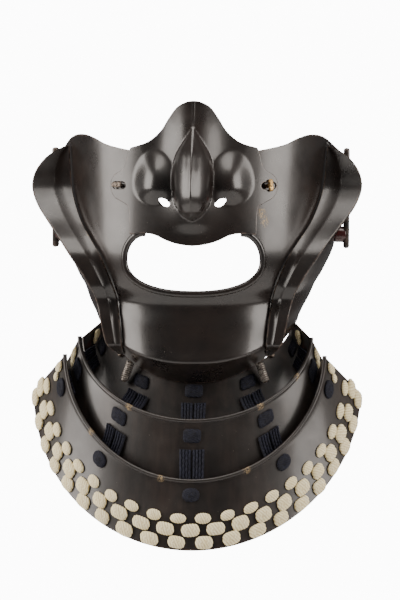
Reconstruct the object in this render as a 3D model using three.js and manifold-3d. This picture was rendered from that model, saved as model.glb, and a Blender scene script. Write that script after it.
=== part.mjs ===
// Japanese half-face guard (menpo): a lacquered iron face plate with a removable nose piece, two
// standing cheek flanges, side hooks and chin posts for the helmet cord, and a throat guard of
// three laced lames. Millimetres, +Z up, the face looks towards -Y, the wearer is on the +Y side.
// The origin is in the plane of symmetry, level with the chin, where the jaw sits in the hollow.
import * as THREE from 'three';
import { mergeVertices } from 'three/addons/utils/BufferGeometryUtils.js';
import Module from 'manifold-3d';

const wasm = await Module();
wasm.setup();

// ---------------------------------------------------------------- driving dimensions
const PLATE = 1.6;             // wall of the face plate and nose piece
const FLANGE_WALL = 1.5;       // wall of the cheek flanges
const LAME_WALL = 1.5;         // wall of the throat lames
const GAP = 0.3;               // clearance between pieces that meet
const SILK_GAP = 0.45;         // clearance of silk from the lames that it lies on
const SLIVER = 0.03;           // a cut leaves no edge shorter than this
const FLAT = 0.008;            // nor, where it can be helped, a triangle lower than this
const NOSE_LIFT = 2.8;         // front of the nose piece ahead of the face plate, along Y

// Face plate, level by level from the rim up: height at the centre and at the rear edge,
// half width, front and rear Y, squareness of the section, and how fast the level rises.
const FACE_LEVELS = [
  { zc: -28.0, zs: 4.0, half: 57.0, front: -70.0, rear: -8.0, square: 2.2, rise: 2.0 },
  { zc: -23.0, zs: 6.0, half: 57.5, front: -76.5, rear: -8.0, square: 2.3, rise: 2.0 },
  { zc: -16.8, zs: 8.0, half: 58.2, front: -86.0, rear: -7.0, square: 2.4, rise: 2.0 },
  { zc: -14.3, zs: 9.5, half: 59.0, front: -88.5, rear: -6.5, square: 2.4, rise: 2.0 },
  { zc: -8.5, zs: 12.5, half: 60.5, front: -87.0, rear: -5.0, square: 2.4, rise: 2.0 },
  { zc: 4.0, zs: 19.0, half: 64.0, front: -83.5, rear: -1.0, square: 2.4, rise: 1.6 },
  { zc: 16.0, zs: 26.0, half: 68.5, front: -83.0, rear: 3.0, square: 2.3, rise: 1.3 },
  { zc: 27.0, zs: 33.0, half: 73.0, front: -87.0, rear: 6.0, square: 2.3, rise: 1.0 },
  { zc: 44.0, zs: 46.0, half: 77.5, front: -89.5, rear: 9.0, square: 2.3, rise: 1.0 },
  { zc: 64.0, zs: 64.0, half: 79.5, front: -88.5, rear: 11.0, square: 2.2, rise: 1.0 },
  { zc: 84.0, zs: 84.0, half: 80.0, front: -85.0, rear: 12.0, square: 2.2, rise: 1.0 },
  { zc: 104.0, zs: 104.0, half: 80.0, front: -80.0, rear: 12.0, square: 2.2, rise: 1.0 },
  { zc: 134.0, zs: 134.0, half: 79.0, front: -71.0, rear: 12.0, square: 2.2, rise: 1.0 },
];

// Upper edge of the cheeks, seen from the front: X and Z.
const CHEEK_TOP = [
  { x: 27, z: 101.5 },
  { x: 36, z: 102.0 },
  { x: 50, z: 105.0 },
  { x: 58, z: 108.6 },
  { x: 65, z: 110.4 },
  { x: 72, z: 108.6 },
  { x: 79, z: 102.0 },
  { x: 86, z: 95.0 },
];

// Mouth and the notch under the nose piece.
const FACE_STEPS = 26;             // facets across and up the face plate
const FACE_RISES = 12;
const MOUTH = { half: 38.7, wide_z: 41.5, bottom: 22.4, top_half: 27.0, top_z: 56.5 };
const NOTCH_HALF = 28.5;
const LIP_RADIUS = 1.9;

// Nose piece: heights of the ridge above the face at the centre line, and its half width.
const RIDGE = [
  { z: 50.0, height: 0.0, half: 12 },
  { z: 56.0, height: 1.5, half: 12 },
  { z: 60.5, height: 7.5, half: 12 },
  { z: 64.0, height: 16.5, half: 12.5 },
  { z: 69.0, height: 20.5, half: 13 },
  { z: 78.0, height: 20.0, half: 13 },
  { z: 88.0, height: 16.0, half: 11 },
  { z: 100.0, height: 10.5, half: 9 },
  { z: 112.0, height: 7.0, half: 9 },
  { z: 122.0, height: 6.0, half: 8 },
  { z: 132.0, height: 5.5, half: 7 },
];
const NOSTRIL_WING = { x: 20.5, z: 80, half_x: 13, half_z: 15, height: 9 };
const NOSTRIL = { x: 15.8, z: 75.4, half_x: 4.6, half_z: 3.4 };
const BROW_DIP = { x: 19, z: 107, half_x: 11, half_z: 16, depth: 2.6 };

// Half outline of the nose piece from the bottom centre to the peak: X and Z.
const NOSE_OUTLINE = [
  { x: 0, z: 49.8 },
  { x: 7, z: 50.6 },
  { x: 14, z: 52.6 },
  { x: 20.5, z: 55.6 },
  { x: 27, z: 56.6 },
  { x: 35, z: 55.8 },
  { x: 35.8, z: 70.0 },
  { x: 38.5, z: 72.8 },
  { x: 44.3, z: 76.2 },
  { x: 46.6, z: 82.5 },
  { x: 44.5, z: 88.0 },
  { x: 39.0, z: 92.0 },
  { x: 36.6, z: 100.0 },
  { x: 35.2, z: 103.4 },
  { x: 25.5, z: 106.6 },
  { x: 18.5, z: 112.4 },
  { x: 14.0, z: 119.4 },
  { x: 9.4, z: 125.6 },
  { x: 4.0, z: 128.6 },
  { x: 0, z: 129.2 },
];

// Turning studs that hold the nose piece, one in a slot of each tab.
const STUD = {
  x: 41.5, z: 82.5, post: 1.25, clear: 0.1, sides: 16,
  length: 6.8, width: 3.0, height: 1.5, slack: 0.3,
};
const SLOT = { length: 8.0, width: 4.0 };
const STUD_TURN_RIGHT = Math.PI / 2;

// Cheek flange, level by level: height, X of its inner and outer edge, and how far the wing
// leans forward at its outer edge.
const FLANGE_LEVELS = [
  { z: -13.0, inner: 39.6, outer: 43.0, lean: 0.0 },
  { z: -6.0, inner: 40.2, outer: 48.6, lean: 1.0 },
  { z: 4.0, inner: 41.2, outer: 51.4, lean: 2.0 },
  { z: 14.0, inner: 42.4, outer: 53.4, lean: 3.0 },
  { z: 23.0, inner: 44.3, outer: 56.4, lean: 3.5 },
  { z: 33.0, inner: 47.8, outer: 62.0, lean: 4.0 },
  { z: 43.0, inner: 52.2, outer: 68.4, lean: 5.0 },
  { z: 52.0, inner: 58.0, outer: 74.6, lean: 6.0 },
  { z: 61.0, inner: 64.0, outer: 81.6, lean: 7.0 },
  { z: 70.5, inner: 68.2, outer: 88.6, lean: 8.0 },
  { z: 78.5, inner: 70.6, outer: 92.2, lean: 8.5 },
  { z: 84.5, inner: 71.6, outer: 92.6, lean: 8.5 },
  { z: 91.0, inner: 72.2, outer: 90.4, lean: 8.0 },
  { z: 97.0, inner: 72.7, outer: 86.0, lean: 6.0 },
  { z: 101.0, inner: 73.0, outer: 80.6, lean: 3.5 },
  { z: 103.5, inner: 73.2, outer: 75.5, lean: 1.0 },
];
const FLANGE_VALLEY = 2.2;
const FLANGE_RIVETS = [{ level: 2.5, share: 0.3 }, { level: 7.0, share: 0.25 }, { level: 12.0, share: 0.22 }];
const RIVET = { shank: 1.2, head: 2.3, head_height: 1.0 };

// Side hooks for the helmet cord: an upright bar carried off the cheek by two stems.
const HOOK = { y: -2, bar: 3.6, depth: 8.0, out: 84.5, low: 44, high: 102, low_stem: 52, high_stem: 88 };
const HOOK_DRUM = { radius: 4.6 };

// Chin posts wound with wire.
const POST = { radius: 2.1, turns: 6, pitch: 2.0, lean_x: 0.35, lean_y: -0.25 };

// Throat lames, top and bottom edges: half width, front Y, radius that the edge wraps round in
// plan, and height at the centre and at the ends.
const LAMES = [
  {
    top: { half: 53.5, front: -67.5, wrap: 55, zc: -24, ze: 3.5 },
    bottom: { half: 64.0, front: -83.0, wrap: 75, zc: -56, ze: -5 },
  },
  {
    top: { half: 65.0, front: -89.5, wrap: 86, zc: -47, ze: -3 },
    bottom: { half: 74.0, front: -94.5, wrap: 93, zc: -87, ze: -20 },
  },
  {
    top: { half: 72.5, front: -100.0, wrap: 97, zc: -79, ze: -12.5 },
    bottom: { half: 93.4, front: -109.0, wrap: 99, zc: -116, ze: -36.0 },
  },
];
const LAME_STEPS = 30;
const LAME_TURN = 82;           // beyond this angle a lame's wall keeps its direction
const ROLL = 1.5;               // size of the rolled upper edge of the lames that show it

// Silk lacing columns: angle round each lame in degrees.
const COLUMNS = [
  { name: 'centre', angles: [0, 0, 0] },
  { name: 'left', angles: [-32, -38, -42] },
  { name: 'right', angles: [32, 37, 41] },
  { name: 'rear_left', angles: [-72, -76, -78] },
  { name: 'rear_right', angles: [72, 76, 78] },
];
// The drop of each pad is its distance down from the upper edge of its lame.
const PATCH = { width: 10.0, height: 7.6, thick: 1.6, leg: 2.0, drop: [9.4, 8.2, 7.6] };
const BRAID = { width: 6.6, thick: 2.2, spacing: 7.3, below: 7.6, reach: 12 };

// Cord-end lacing of cream silk at the rear corners of the lames.
const CORNER = { angles: [84, 86, 87], size: 5.6, drop: [11.5, 7.5, 6.6], leg: 1.6, thick: 2.0 };

// Cream silk lacing rows on the lowest lame: share of the way down, count and pad size.
const SILK_ROWS = [
  { name: 'silk_row_top', share: 0.545, count: 20, end: 85, length: 9.0, height: 5.0, thick: 1.5 },
  { name: 'silk_row_middle', share: 0.715, count: 21, end: 87.5, length: 9.6, height: 6.4, thick: 1.8 },
  { name: 'silk_row_bottom', share: 0.885, count: 20, end: 86, length: 9.6, height: 5.8, thick: 1.8 },
];
const SILK_LEG = 1.6;
const SILK_THREAD = { width: 1.6, thick: 0.6 };
const SILK_LEGS = 4;             // places where each row is tied through the lame

// ---------------------------------------------------------------- finishes
const finish = (color, roughness, metalness) => new THREE.MeshStandardMaterial({ color, roughness, metalness });
const DARK_LACQUER = finish(0x241d1c, 0.25, 0.0);
const LAME_LACQUER = finish(0x2f2523, 0.32, 0.0);
const NAVY_SILK = finish(0x171a2a, 0.85, 0.0);
const CREAM_SILK = finish(0xe9e0bd, 0.8, 0.0);
const WORN_IRON = finish(0x5a4c42, 0.5, 0.7);
const WORN_GILT = finish(0x9a7b4a, 0.45, 0.8);

// ---------------------------------------------------------------- small maths
const lerp = (a, b, k) => a + (b - a) * k;
const smooth = (k) => k * k * (3 - 2 * k);
const V = (x, y, z) => new THREE.Vector3(x, y, z);

// Smooth value of one named column of a table at a fractional row.
function column(rows, name, at) {
  const i = Math.min(Math.max(Math.floor(at), 0), rows.length - 2);
  const k = at - i;
  const p = (j) => rows[Math.min(Math.max(j, 0), rows.length - 1)][name];
  const bend = 0.5 * (p(i + 1) - p(i - 1));
  const bend2 = 0.5 * (p(i + 2) - p(i));
  const k2 = k * k;
  const k3 = k2 * k;
  return (2 * k3 - 3 * k2 + 1) * p(i) + (k3 - 2 * k2 + k) * bend
    + (3 * k2 - 2 * k3) * p(i + 1) + (k3 - k2) * bend2;
}

// Fractional row of a table at which its z column reaches a height.
function rowAt(rows, z, name = 'z') {
  for (let i = 0; i < rows.length - 1; i += 1) {
    if (z <= rows[i + 1][name]) {
      return i + Math.max(0, (z - rows[i][name]) / (rows[i + 1][name] - rows[i][name]));
    }
  }
  return rows.length - 1;
}

// ---------------------------------------------------------------- solids
function solid(geometry) {
  const bare = geometry.clone();
  bare.deleteAttribute('normal');
  bare.deleteAttribute('uv');
  const merged = mergeVertices(bare, 1e-4);
  return new wasm.Manifold(new wasm.Mesh({
    numProp: 3,
    vertProperties: new Float32Array(merged.attributes.position.array),
    triVerts: new Uint32Array(merged.index.array),
  }));
}

// Merges the ends of very short edges, where both triangles of the edge can close up.
function mergeShortEdges(points, triangles) {
  const around = points.map(() => new Set());
  for (const triangle of triangles) for (const a of triangle) for (const b of triangle) if (a !== b) around[a].add(b);
  const home = points.map((_, i) => i);
  const busy = new Set();
  for (const triangle of triangles) {
    for (let k = 0; k < 3; k += 1) {
      const a = triangle[k];
      const b = triangle[(k + 1) % 3];
      const shared = [...around[a]].filter((i) => around[b].has(i));
      const free = !busy.has(a) && !busy.has(b);
      if (!free || shared.length !== 2 || points[a].distanceTo(points[b]) >= SLIVER) continue;
      home[b] = a;
      for (const i of [...around[a], ...around[b]]) busy.add(i);
    }
  }
  const moved = triangles.map((triangle) => triangle.map((i) => home[i]));
  return moved.filter(([a, b, c]) => a !== b && b !== c && c !== a);
}

// Turns the long edge of each very low triangle, so that its neighbour takes it in.
function turnLongEdges(points, triangles) {
  const owner = new Map();
  triangles.forEach(([a, b, c], i) => {
    for (const [from, to] of [[a, b], [b, c], [c, a]]) owner.set(`${from},${to}`, i);
  });
  const result = triangles.map((triangle) => [...triangle]);
  const busy = new Set();
  triangles.forEach((triangle, i) => {
    const lengths = [0, 1, 2].map((k) => points[triangle[k]].distanceTo(points[triangle[(k + 1) % 3]]));
    const k = lengths.indexOf(Math.max(...lengths));
    const [a, b, c] = [triangle[k], triangle[(k + 1) % 3], triangle[(k + 2) % 3]];
    const height = 2 * new THREE.Triangle(points[a], points[b], points[c]).getArea() / lengths[k];
    const other = owner.get(`${b},${a}`);
    if (height >= FLAT || busy.has(i) || busy.has(other)) return;
    const d = triangles[other].find((vertex) => vertex !== a && vertex !== b);
    if (owner.has(`${c},${d}`) || owner.has(`${d},${c}`)) return;
    result[i] = [a, d, c];
    result[other] = [d, b, c];
    for (const used of [i, other]) busy.add(used);
    owner.set(`${c},${d}`, i);
  });
  return result;
}

function geometryOf(body) {
  const mesh = body.getMesh();
  const points = [];
  for (let i = 0; i < mesh.vertProperties.length; i += 3) points.push(V(...mesh.vertProperties.slice(i, i + 3)));
  let triangles = [];
  for (let i = 0; i < mesh.triVerts.length; i += 3) triangles.push([...mesh.triVerts.slice(i, i + 3)]);
  for (let pass = 0; pass < 6; pass += 1) {
    triangles = turnLongEdges(points, mergeShortEdges(points, triangles));
  }
  const used = [...new Set(triangles.flat())];
  const place = new Map(used.map((from, to) => [from, to]));
  const geometry = new THREE.BufferGeometry();
  geometry.setFromPoints(used.map((i) => points[i]));
  geometry.setIndex(triangles.flat().map((i) => place.get(i)));
  return geometry;
}

// Wall of even thickness: pointAt(u, v) is its outer face, u to the right and v up.
function wall(pointAt, us, vs, thickness, outset = 0) {
  const rows = [];
  const step = 1e-3;
  for (const v of vs) {
    rows.push(us.map((u) => {
      const p = pointAt(u, v);
      const du = pointAt(u + step, v).sub(pointAt(u - step, v));
      const dv = pointAt(u, v + step).sub(pointAt(u, v - step));
      const n = du.cross(dv).normalize();
      return [p.clone().addScaledVector(n, outset), p.clone().addScaledVector(n, -thickness)];
    }));
  }
  const across = us.length;
  const positions = [];
  rows.forEach((row) => row.forEach(([outer]) => positions.push(...outer.toArray())));
  rows.forEach((row) => row.forEach(([, inner]) => positions.push(...inner.toArray())));
  const inside = rows.length * across;
  const at = (r, c, side) => side * inside + r * across + c;
  const index = [];
  const quad = (a, b, c, d) => index.push(a, b, c, a, c, d);
  for (let r = 0; r < rows.length - 1; r += 1) {
    for (let c = 0; c < across - 1; c += 1) {
      quad(at(r, c, 0), at(r, c + 1, 0), at(r + 1, c + 1, 0), at(r + 1, c, 0));
      quad(at(r, c, 1), at(r + 1, c, 1), at(r + 1, c + 1, 1), at(r, c + 1, 1));
    }
  }
  for (let c = 0; c < across - 1; c += 1) {
    const top = rows.length - 1;
    quad(at(0, c, 1), at(0, c + 1, 1), at(0, c + 1, 0), at(0, c, 0));
    quad(at(top, c, 0), at(top, c + 1, 0), at(top, c + 1, 1), at(top, c, 1));
  }
  for (let r = 0; r < rows.length - 1; r += 1) {
    const end = across - 1;
    quad(at(r, 0, 0), at(r + 1, 0, 0), at(r + 1, 0, 1), at(r, 0, 1));
    quad(at(r, end, 0), at(r, end, 1), at(r + 1, end, 1), at(r + 1, end, 0));
  }
  const geometry = new THREE.BufferGeometry();
  geometry.setAttribute('position', new THREE.Float32BufferAttribute(positions, 3));
  geometry.setIndex(index);
  return geometry;
}

// Closed body through sections of equal point counts, each turning left as seen from the start.
function sweep(sections) {
  const sides = sections[0].length;
  const positions = sections.flat().flatMap((p) => p.toArray());
  const index = [];
  for (let i = 0; i < sections.length - 1; i += 1) {
    for (let j = 0; j < sides; j += 1) {
      const k = (j + 1) % sides;
      const a = i * sides + j;
      const b = i * sides + k;
      index.push(a, a + sides, b + sides, a, b + sides, b);
    }
  }
  const last = (sections.length - 1) * sides;
  for (let j = 1; j < sides - 1; j += 1) {
    index.push(0, j, j + 1);
    index.push(last, last + j + 1, last + j);
  }
  const geometry = new THREE.BufferGeometry();
  geometry.setAttribute('position', new THREE.Float32BufferAttribute(positions, 3));
  geometry.setIndex(index);
  const body = solid(geometry);
  if (body.volume() > 0) return body;
  geometry.setIndex(index.map((_, n) => index[n - (n % 3) + 2 - (n % 3)]));
  return solid(geometry);
}

const spread = (from, to, steps) => Array.from({ length: steps + 1 }, (_, i) => lerp(from, to, i / steps));

// Prism of a front-view outline, running along Y between two planes.
function frontPrism(shape, yNear, yFar) {
  const prism = new THREE.ExtrudeGeometry(shape, { depth: yFar - yNear, bevelEnabled: false });
  prism.rotateX(Math.PI / 2);
  prism.translate(0, yFar, 0);
  return solid(prism);
}

// Rod of round section along a polyline.
function rod(points, radius, sides = 8) {
  const path = new THREE.CurvePath();
  for (let i = 0; i < points.length - 1; i += 1) {
    path.add(new THREE.LineCurve3(points[i], points[i + 1]));
  }
  const circle = new THREE.Shape();
  for (let i = 0; i < sides; i += 1) {
    const a = (i / sides) * 2 * Math.PI;
    const put = i === 0 ? 'moveTo' : 'lineTo';
    circle[put](radius * Math.cos(a), radius * Math.sin(a));
  }
  return new THREE.ExtrudeGeometry(circle, { steps: points.length - 1, extrudePath: path, bevelEnabled: false });
}

// Turned piece along an axis from a base point: profile of [radius, distance] pairs.
function turned(profile, base, axis, sides = 8) {
  const lathe = new THREE.LatheGeometry(profile.map(([r, d]) => new THREE.Vector2(r, d)), sides);
  const turn = new THREE.Quaternion().setFromUnitVectors(V(0, 1, 0), axis);
  lathe.applyQuaternion(turn);
  lathe.translate(base.x, base.y, base.z);
  return solid(lathe);
}

const pin = (base, axis, radius, from, to, sides = 8) => turned(
  [[0, from], [radius, from], [radius, to], [0, to]], base, axis, sides);

// Block centred at a point, with its width along one direction and its depth along another.
function block(centre, widthDir, depthDir, width, depth, height) {
  const box = new THREE.BoxGeometry(width, depth, height);
  const up = widthDir.clone().cross(depthDir).normalize();
  const basis = new THREE.Matrix4().makeBasis(widthDir, depthDir, up);
  box.applyMatrix4(basis);
  box.translate(centre.x, centre.y, centre.z);
  return solid(box);
}

function mirrored(geometry) {
  const copy = geometry.clone();
  const p = copy.attributes.position;
  for (let i = 0; i < p.count; i += 1) p.setX(i, -p.getX(i));
  const index = copy.index.array;
  for (let i = 0; i < index.length; i += 3) {
    const swap = index[i];
    index[i] = index[i + 1];
    index[i + 1] = swap;
  }
  return copy;
}

// ---------------------------------------------------------------- the face surface
// Point of the face at share s of the way round (-1 to 1) and fractional level v.
function facePoint(s, v) {
  const half = column(FACE_LEVELS, 'half', v);
  const front = column(FACE_LEVELS, 'front', v);
  const rear = column(FACE_LEVELS, 'rear', v);
  const power = 2 / column(FACE_LEVELS, 'square', v);
  const angle = Math.abs(s) * Math.PI / 2;
  const side = Math.sin(angle) ** power;
  const ahead = Math.max(Math.cos(angle), 0) ** power;
  const zs = column(FACE_LEVELS, 'zs', v);
  const zc = column(FACE_LEVELS, 'zc', v);
  const z = lerp(zs, zc, ahead ** column(FACE_LEVELS, 'rise', v));
  return V(Math.sign(s) * half * side, lerp(rear, front, ahead), z);
}

// Point of the face straight behind a place in the front view.
function faceAt(x, z) {
  let low = 0;
  let high = FACE_LEVELS.length - 1;
  let point = null;
  for (let i = 0; i < 40; i += 1) {
    const v = (low + high) / 2;
    const power = column(FACE_LEVELS, 'square', v);
    const side = Math.min(Math.abs(x) / column(FACE_LEVELS, 'half', v), 1);
    point = facePoint(Math.sign(x) * Math.asin(side ** (power / 2)) / (Math.PI / 2), v);
    if (point.z < z) low = v;
    else high = v;
  }
  return V(x, point.y, z);
}

// Outward direction of the face at a place in the front view.
function faceNormal(x, z) {
  const d = 0.5;
  const across = faceAt(x + d, z).sub(faceAt(x - d, z));
  const up = faceAt(x, z + d).sub(faceAt(x, z - d));
  return across.cross(up).normalize();
}

// Foot on the face, outward direction and reach of a pin that ends at a point ahead of it.
function footOf(target) {
  let base = faceAt(target.x, target.z);
  let axis = faceNormal(target.x, target.z);
  for (let i = 0; i < 4; i += 1) {
    const reach = target.clone().sub(base).dot(axis);
    base = faceAt(target.x - axis.x * reach, target.z - axis.z * reach);
    axis = faceNormal(base.x, base.z);
  }
  return { base, axis, reach: target.clone().sub(base).dot(axis) };
}

// ---------------------------------------------------------------- face plate
function mouthPoint(k) {
  const angle = k * Math.PI / 2;
  const x = MOUTH.half * Math.sin(angle) ** 0.86;
  return [x, MOUTH.wide_z - (MOUTH.wide_z - MOUTH.bottom) * Math.max(Math.cos(angle), 0) ** 0.86];
}

// Right half of the mouth edge, from the bottom centre to where it meets the notch.
function mouthHalf(steps) {
  const points = spread(0, 1, steps).map(mouthPoint);
  for (const k of spread(0, 1, 4).slice(1)) {
    const angle = k * Math.PI / 2;
    points.push([
      MOUTH.top_half + (MOUTH.half - MOUTH.top_half) * Math.cos(angle),
      MOUTH.wide_z + (MOUTH.top_z - MOUTH.wide_z) * Math.sin(angle),
    ]);
  }
  return points;
}

function mouthCutter() {
  const half = mouthHalf(10);
  half.push([NOTCH_HALF, MOUTH.top_z + 3], [NOTCH_HALF, 140]);
  const shape = new THREE.Shape();
  shape.moveTo(half[0][0], half[0][1]);
  half.slice(1).forEach(([x, z]) => shape.lineTo(x, z));
  half.slice(1).reverse().forEach(([x, z]) => shape.lineTo(-x, z));
  shape.closePath();
  return frontPrism(shape, -150, -30);
}

function cheekTopCutter(side) {
  const shape = new THREE.Shape();
  shape.moveTo(side * 20, 150);
  CHEEK_TOP.forEach(({ x, z }) => shape.lineTo(side * x, z));
  shape.lineTo(side * 100, 150);
  shape.closePath();
  return frontPrism(shape, -150, 60);
}

function faceShell(thickness, outset = 0, low = 0) {
  const top = FACE_LEVELS.length - 1.5;
  return solid(wall(facePoint, spread(-1, 1, FACE_STEPS), spread(low, top, FACE_RISES), thickness, outset));
}

// The plate and the gap around it, which nothing that lies on the plate may enter.
const faceClear = () => faceShell(PLATE + GAP, GAP, -0.1).subtract(mouthCutter());

const faceHole = ({ base, axis }, radius, sides = 8) => pin(base, axis, radius, -6, 6, sides);

// Rolled lip round the mouth.
function lipBead(radius) {
  const half = mouthHalf(9);
  const edge = half.slice(1).reverse().map(([x, z]) => [-x, z]).concat(half);
  const line = edge.map(([x, z]) => faceAt(x, z).addScaledVector(faceNormal(x, z), 0.1 - PLATE / 2));
  return solid(rod(line, radius, 6));
}

function facePlate() {
  let plate = faceShell(PLATE);
  plate = plate.subtract(cheekTopCutter(1)).subtract(cheekTopCutter(-1));
  plate = plate.subtract(mouthCutter());
  plate = plate.add(lipBead(LIP_RADIUS));
  for (const side of [-1, 1]) {
    plate = plate.subtract(faceHole(studPlace(side), STUD.post + STUD.clear, STUD.sides));
    for (const rivet of FLANGE_RIVETS) {
      const target = flangePoint(rivet.share, rivet.level);
      plate = plate.subtract(faceHole(footOf(V(side * target.x, target.y, target.z)), RIVET.shank + GAP));
    }
    for (const z of [HOOK.low_stem, HOOK.high_stem]) {
      plate = plate.subtract(pin(hookFoot(side, z), V(side, 0, 0), 2 + GAP, -8, 8));
    }
    plate = plate.subtract(pin(postBase(side), postAxis(side), POST.radius * 0.6 + GAP, -6, 6));
  }
  for (const angle of RIM_RIVETS) {
    const { base, axis } = rimRivetPlace(angle);
    plate = plate.subtract(pin(base, axis, RIVET.shank + GAP, -1, 6));
  }
  return plate;
}

// ---------------------------------------------------------------- nose piece
const bump = (k) => (Math.abs(k) >= 1 ? 0 : (1 - k * k) ** 2);

// How far the nose stands ahead of the face at a place in the front view.
function noseRelief(x, z) {
  const at = rowAt(RIDGE, z);
  const height = column(RIDGE, 'height', at);
  const half = column(RIDGE, 'half', at);
  const ridge = height * Math.exp(-((Math.abs(x) / half) ** 2.2));
  const w = NOSTRIL_WING;
  const k = Math.hypot((Math.abs(x) - w.x) / w.half_x, (z - w.z) / w.half_z);
  const dip = BROW_DIP;
  const d = Math.hypot((Math.abs(x) - dip.x) / dip.half_x, (z - dip.z) / dip.half_z);
  return Math.max(ridge, w.height * bump(k)) + 0.35 * Math.min(ridge, w.height * bump(k))
    - dip.depth * bump(d);
}

function nosePoint(x, z) {
  const base = faceAt(x, z);
  return V(x, base.y - NOSE_LIFT - noseRelief(x, z), z);
}

function outlineShape(half) {
  const shape = new THREE.Shape();
  shape.moveTo(half[0].x, half[0].z);
  half.slice(1).forEach(({ x, z }) => shape.lineTo(x, z));
  half.slice(1, -1).reverse().forEach(({ x, z }) => shape.lineTo(-x, z));
  shape.closePath();
  return shape;
}

// Place of a turning stud: its foot on the face, its middle on the tab, and two directions.
function studPlace(side) {
  const tab = nosePoint(side * STUD.x, STUD.z);
  const { base, axis, reach } = footOf(tab);
  return { base, tab, axis, reach, level: V(0, 0, 1).cross(axis).normalize() };
}

function nosePiece() {
  const xs = spread(-50, 50, 20);
  const zs = spread(47, 132, 17);
  let nose = solid(wall((x, z) => nosePoint(x, z), xs, zs, PLATE));
  nose = nose.intersect(frontPrism(outlineShape(NOSE_OUTLINE), -160, -20));
  nose = nose.subtract(faceClear()).subtract(lipBead(LIP_RADIUS + GAP));
  for (const side of [-1, 1]) {
    const hole = new THREE.Shape();
    hole.absellipse(side * NOSTRIL.x, NOSTRIL.z, NOSTRIL.half_x, NOSTRIL.half_z, 0, 2 * Math.PI);
    nose = nose.subtract(frontPrism(new THREE.Shape(hole.getPoints(4)), -160, -20));
    const { tab, axis, level } = studPlace(side);
    nose = nose.subtract(block(tab, level, axis, SLOT.length - SLOT.width, 8, SLOT.width));
    for (const end of [-1, 1]) {
      const centre = tab.clone().addScaledVector(level, end * (SLOT.length - SLOT.width) / 2);
      nose = nose.subtract(pin(centre, axis, SLOT.width / 2, -4, 4, 10));
    }
  }
  return nose;
}

// Stud: a post through the cheek, a bar head in front of the tab and a round head inside.
function noseStud(side, turn) {
  const { base, axis, reach, level } = studPlace(side);
  const inner = -(PLATE + GAP + 0.3);
  const bar = level.clone().applyAxisAngle(axis, turn);
  const outline = new THREE.Shape();
  const straight = (STUD.length - STUD.width) / 2;
  outline.absarc(straight, 0, STUD.width / 2, -Math.PI / 2, Math.PI / 2);
  outline.absarc(-straight, 0, STUD.width / 2, Math.PI / 2, 1.5 * Math.PI);
  const head = new THREE.ExtrudeGeometry(outline, { depth: STUD.height, curveSegments: 4, bevelEnabled: false });
  head.translate(0, 0, reach + STUD.slack);
  head.applyMatrix4(new THREE.Matrix4().makeBasis(bar, axis.clone().cross(bar), axis));
  head.translate(base.x, base.y, base.z);
  return pin(base, axis, STUD.post, inner - 0.3, reach + STUD.slack + 0.4, STUD.sides)
    .add(pin(base, axis, STUD.post * 1.7, inner - 1.0, inner))
    .add(solid(head));
}

// ---------------------------------------------------------------- cheek flanges

// Point of the right flange: u from its inner to its outer edge, at fractional level v.
function flangePoint(u, v) {
  const z = column(FLANGE_LEVELS, 'z', v);
  const inner = column(FLANGE_LEVELS, 'inner', v);
  const outer = column(FLANGE_LEVELS, 'outer', v);
  const start = faceAt(inner, z).y - FLANGE_WALL - 0.9;
  const valley = FLANGE_VALLEY * Math.min(1, (outer - inner) / 10) * Math.sin(Math.PI * Math.min(u * 2.2, 1));
  const lean = column(FLANGE_LEVELS, 'lean', v) * smooth(u);
  return V(lerp(inner, outer, u), start + valley - lean, z);
}

const flangeRivetPlace = ({ level, share }) => footOf(flangePoint(share, level));

function cheekFlange() {
  const vs = spread(0, FLANGE_LEVELS.length - 1, FLANGE_LEVELS.length - 1);
  let flange = solid(wall(flangePoint, spread(0, 1, 4), vs, FLANGE_WALL));
  flange = flange.subtract(faceClear());
  const head = PLATE + GAP + 0.7;
  for (const rivet of FLANGE_RIVETS) {
    const { base, axis, reach } = flangeRivetPlace(rivet);
    flange = flange.add(pin(base, axis, RIVET.shank, -(head + 0.2), reach - FLANGE_WALL * 0.6))
      .add(pin(base, axis, RIVET.head, -(head + RIVET.head_height), -head));
  }
  return flange;
}

// ---------------------------------------------------------------- side hooks and chin posts
// Point of the cheek at the hook's Y and at the height z.
function hookFoot(side, z) {
  const level = rowAt(FACE_LEVELS, z, 'zs');
  const away = (p) => Math.abs(p.y - HOOK.y);
  const candidates = spread(0.5, 1, 250).map((v) => facePoint(side * v, level));
  return candidates.reduce((best, p) => (away(p) < away(best) ? p : best));
}

function sideHook(side) {
  const centre = V(side * HOOK.out, HOOK.y, (HOOK.low + HOOK.high) / 2);
  let hook = block(centre, V(1, 0, 0), V(0, 1, 0), HOOK.bar, HOOK.depth, HOOK.high - HOOK.low - HOOK.depth);
  for (const z of [HOOK.low + HOOK.depth / 2, HOOK.high - HOOK.depth / 2]) {
    hook = hook.add(pin(V(side * HOOK.out, HOOK.y, z), V(1, 0, 0), HOOK.depth / 2, -HOOK.bar / 2, HOOK.bar / 2, 12));
  }
  const low = hookFoot(side, HOOK.low_stem);
  const lowGap = Math.abs(HOOK.out) - Math.abs(low.x);
  hook = hook.add(pin(low, V(side, 0, 0), HOOK_DRUM.radius, GAP + 0.6, lowGap, 10));
  const high = hookFoot(side, HOOK.high_stem);
  const highGap = Math.abs(HOOK.out) - Math.abs(high.x);
  hook = hook.add(pin(high, V(side, 0, 0), 3.4, GAP + 0.6, highGap, 8));
  for (const foot of [low, high]) {
    hook = hook.add(pin(foot, V(side, 0, 0), 2, -(PLATE + GAP + 1.0), 2))
      .add(pin(foot, V(side, 0, 0), 3.2, -(PLATE + GAP + 2.0), -(PLATE + GAP + 0.8)));
  }
  return hook;
}

const postAxis = (side) => V(side * POST.lean_x, POST.lean_y, -1).normalize();

function postBase(side) {
  const at = facePoint(side * 0.40, 0.55);
  return V(at.x, at.y, at.z);
}

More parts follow.
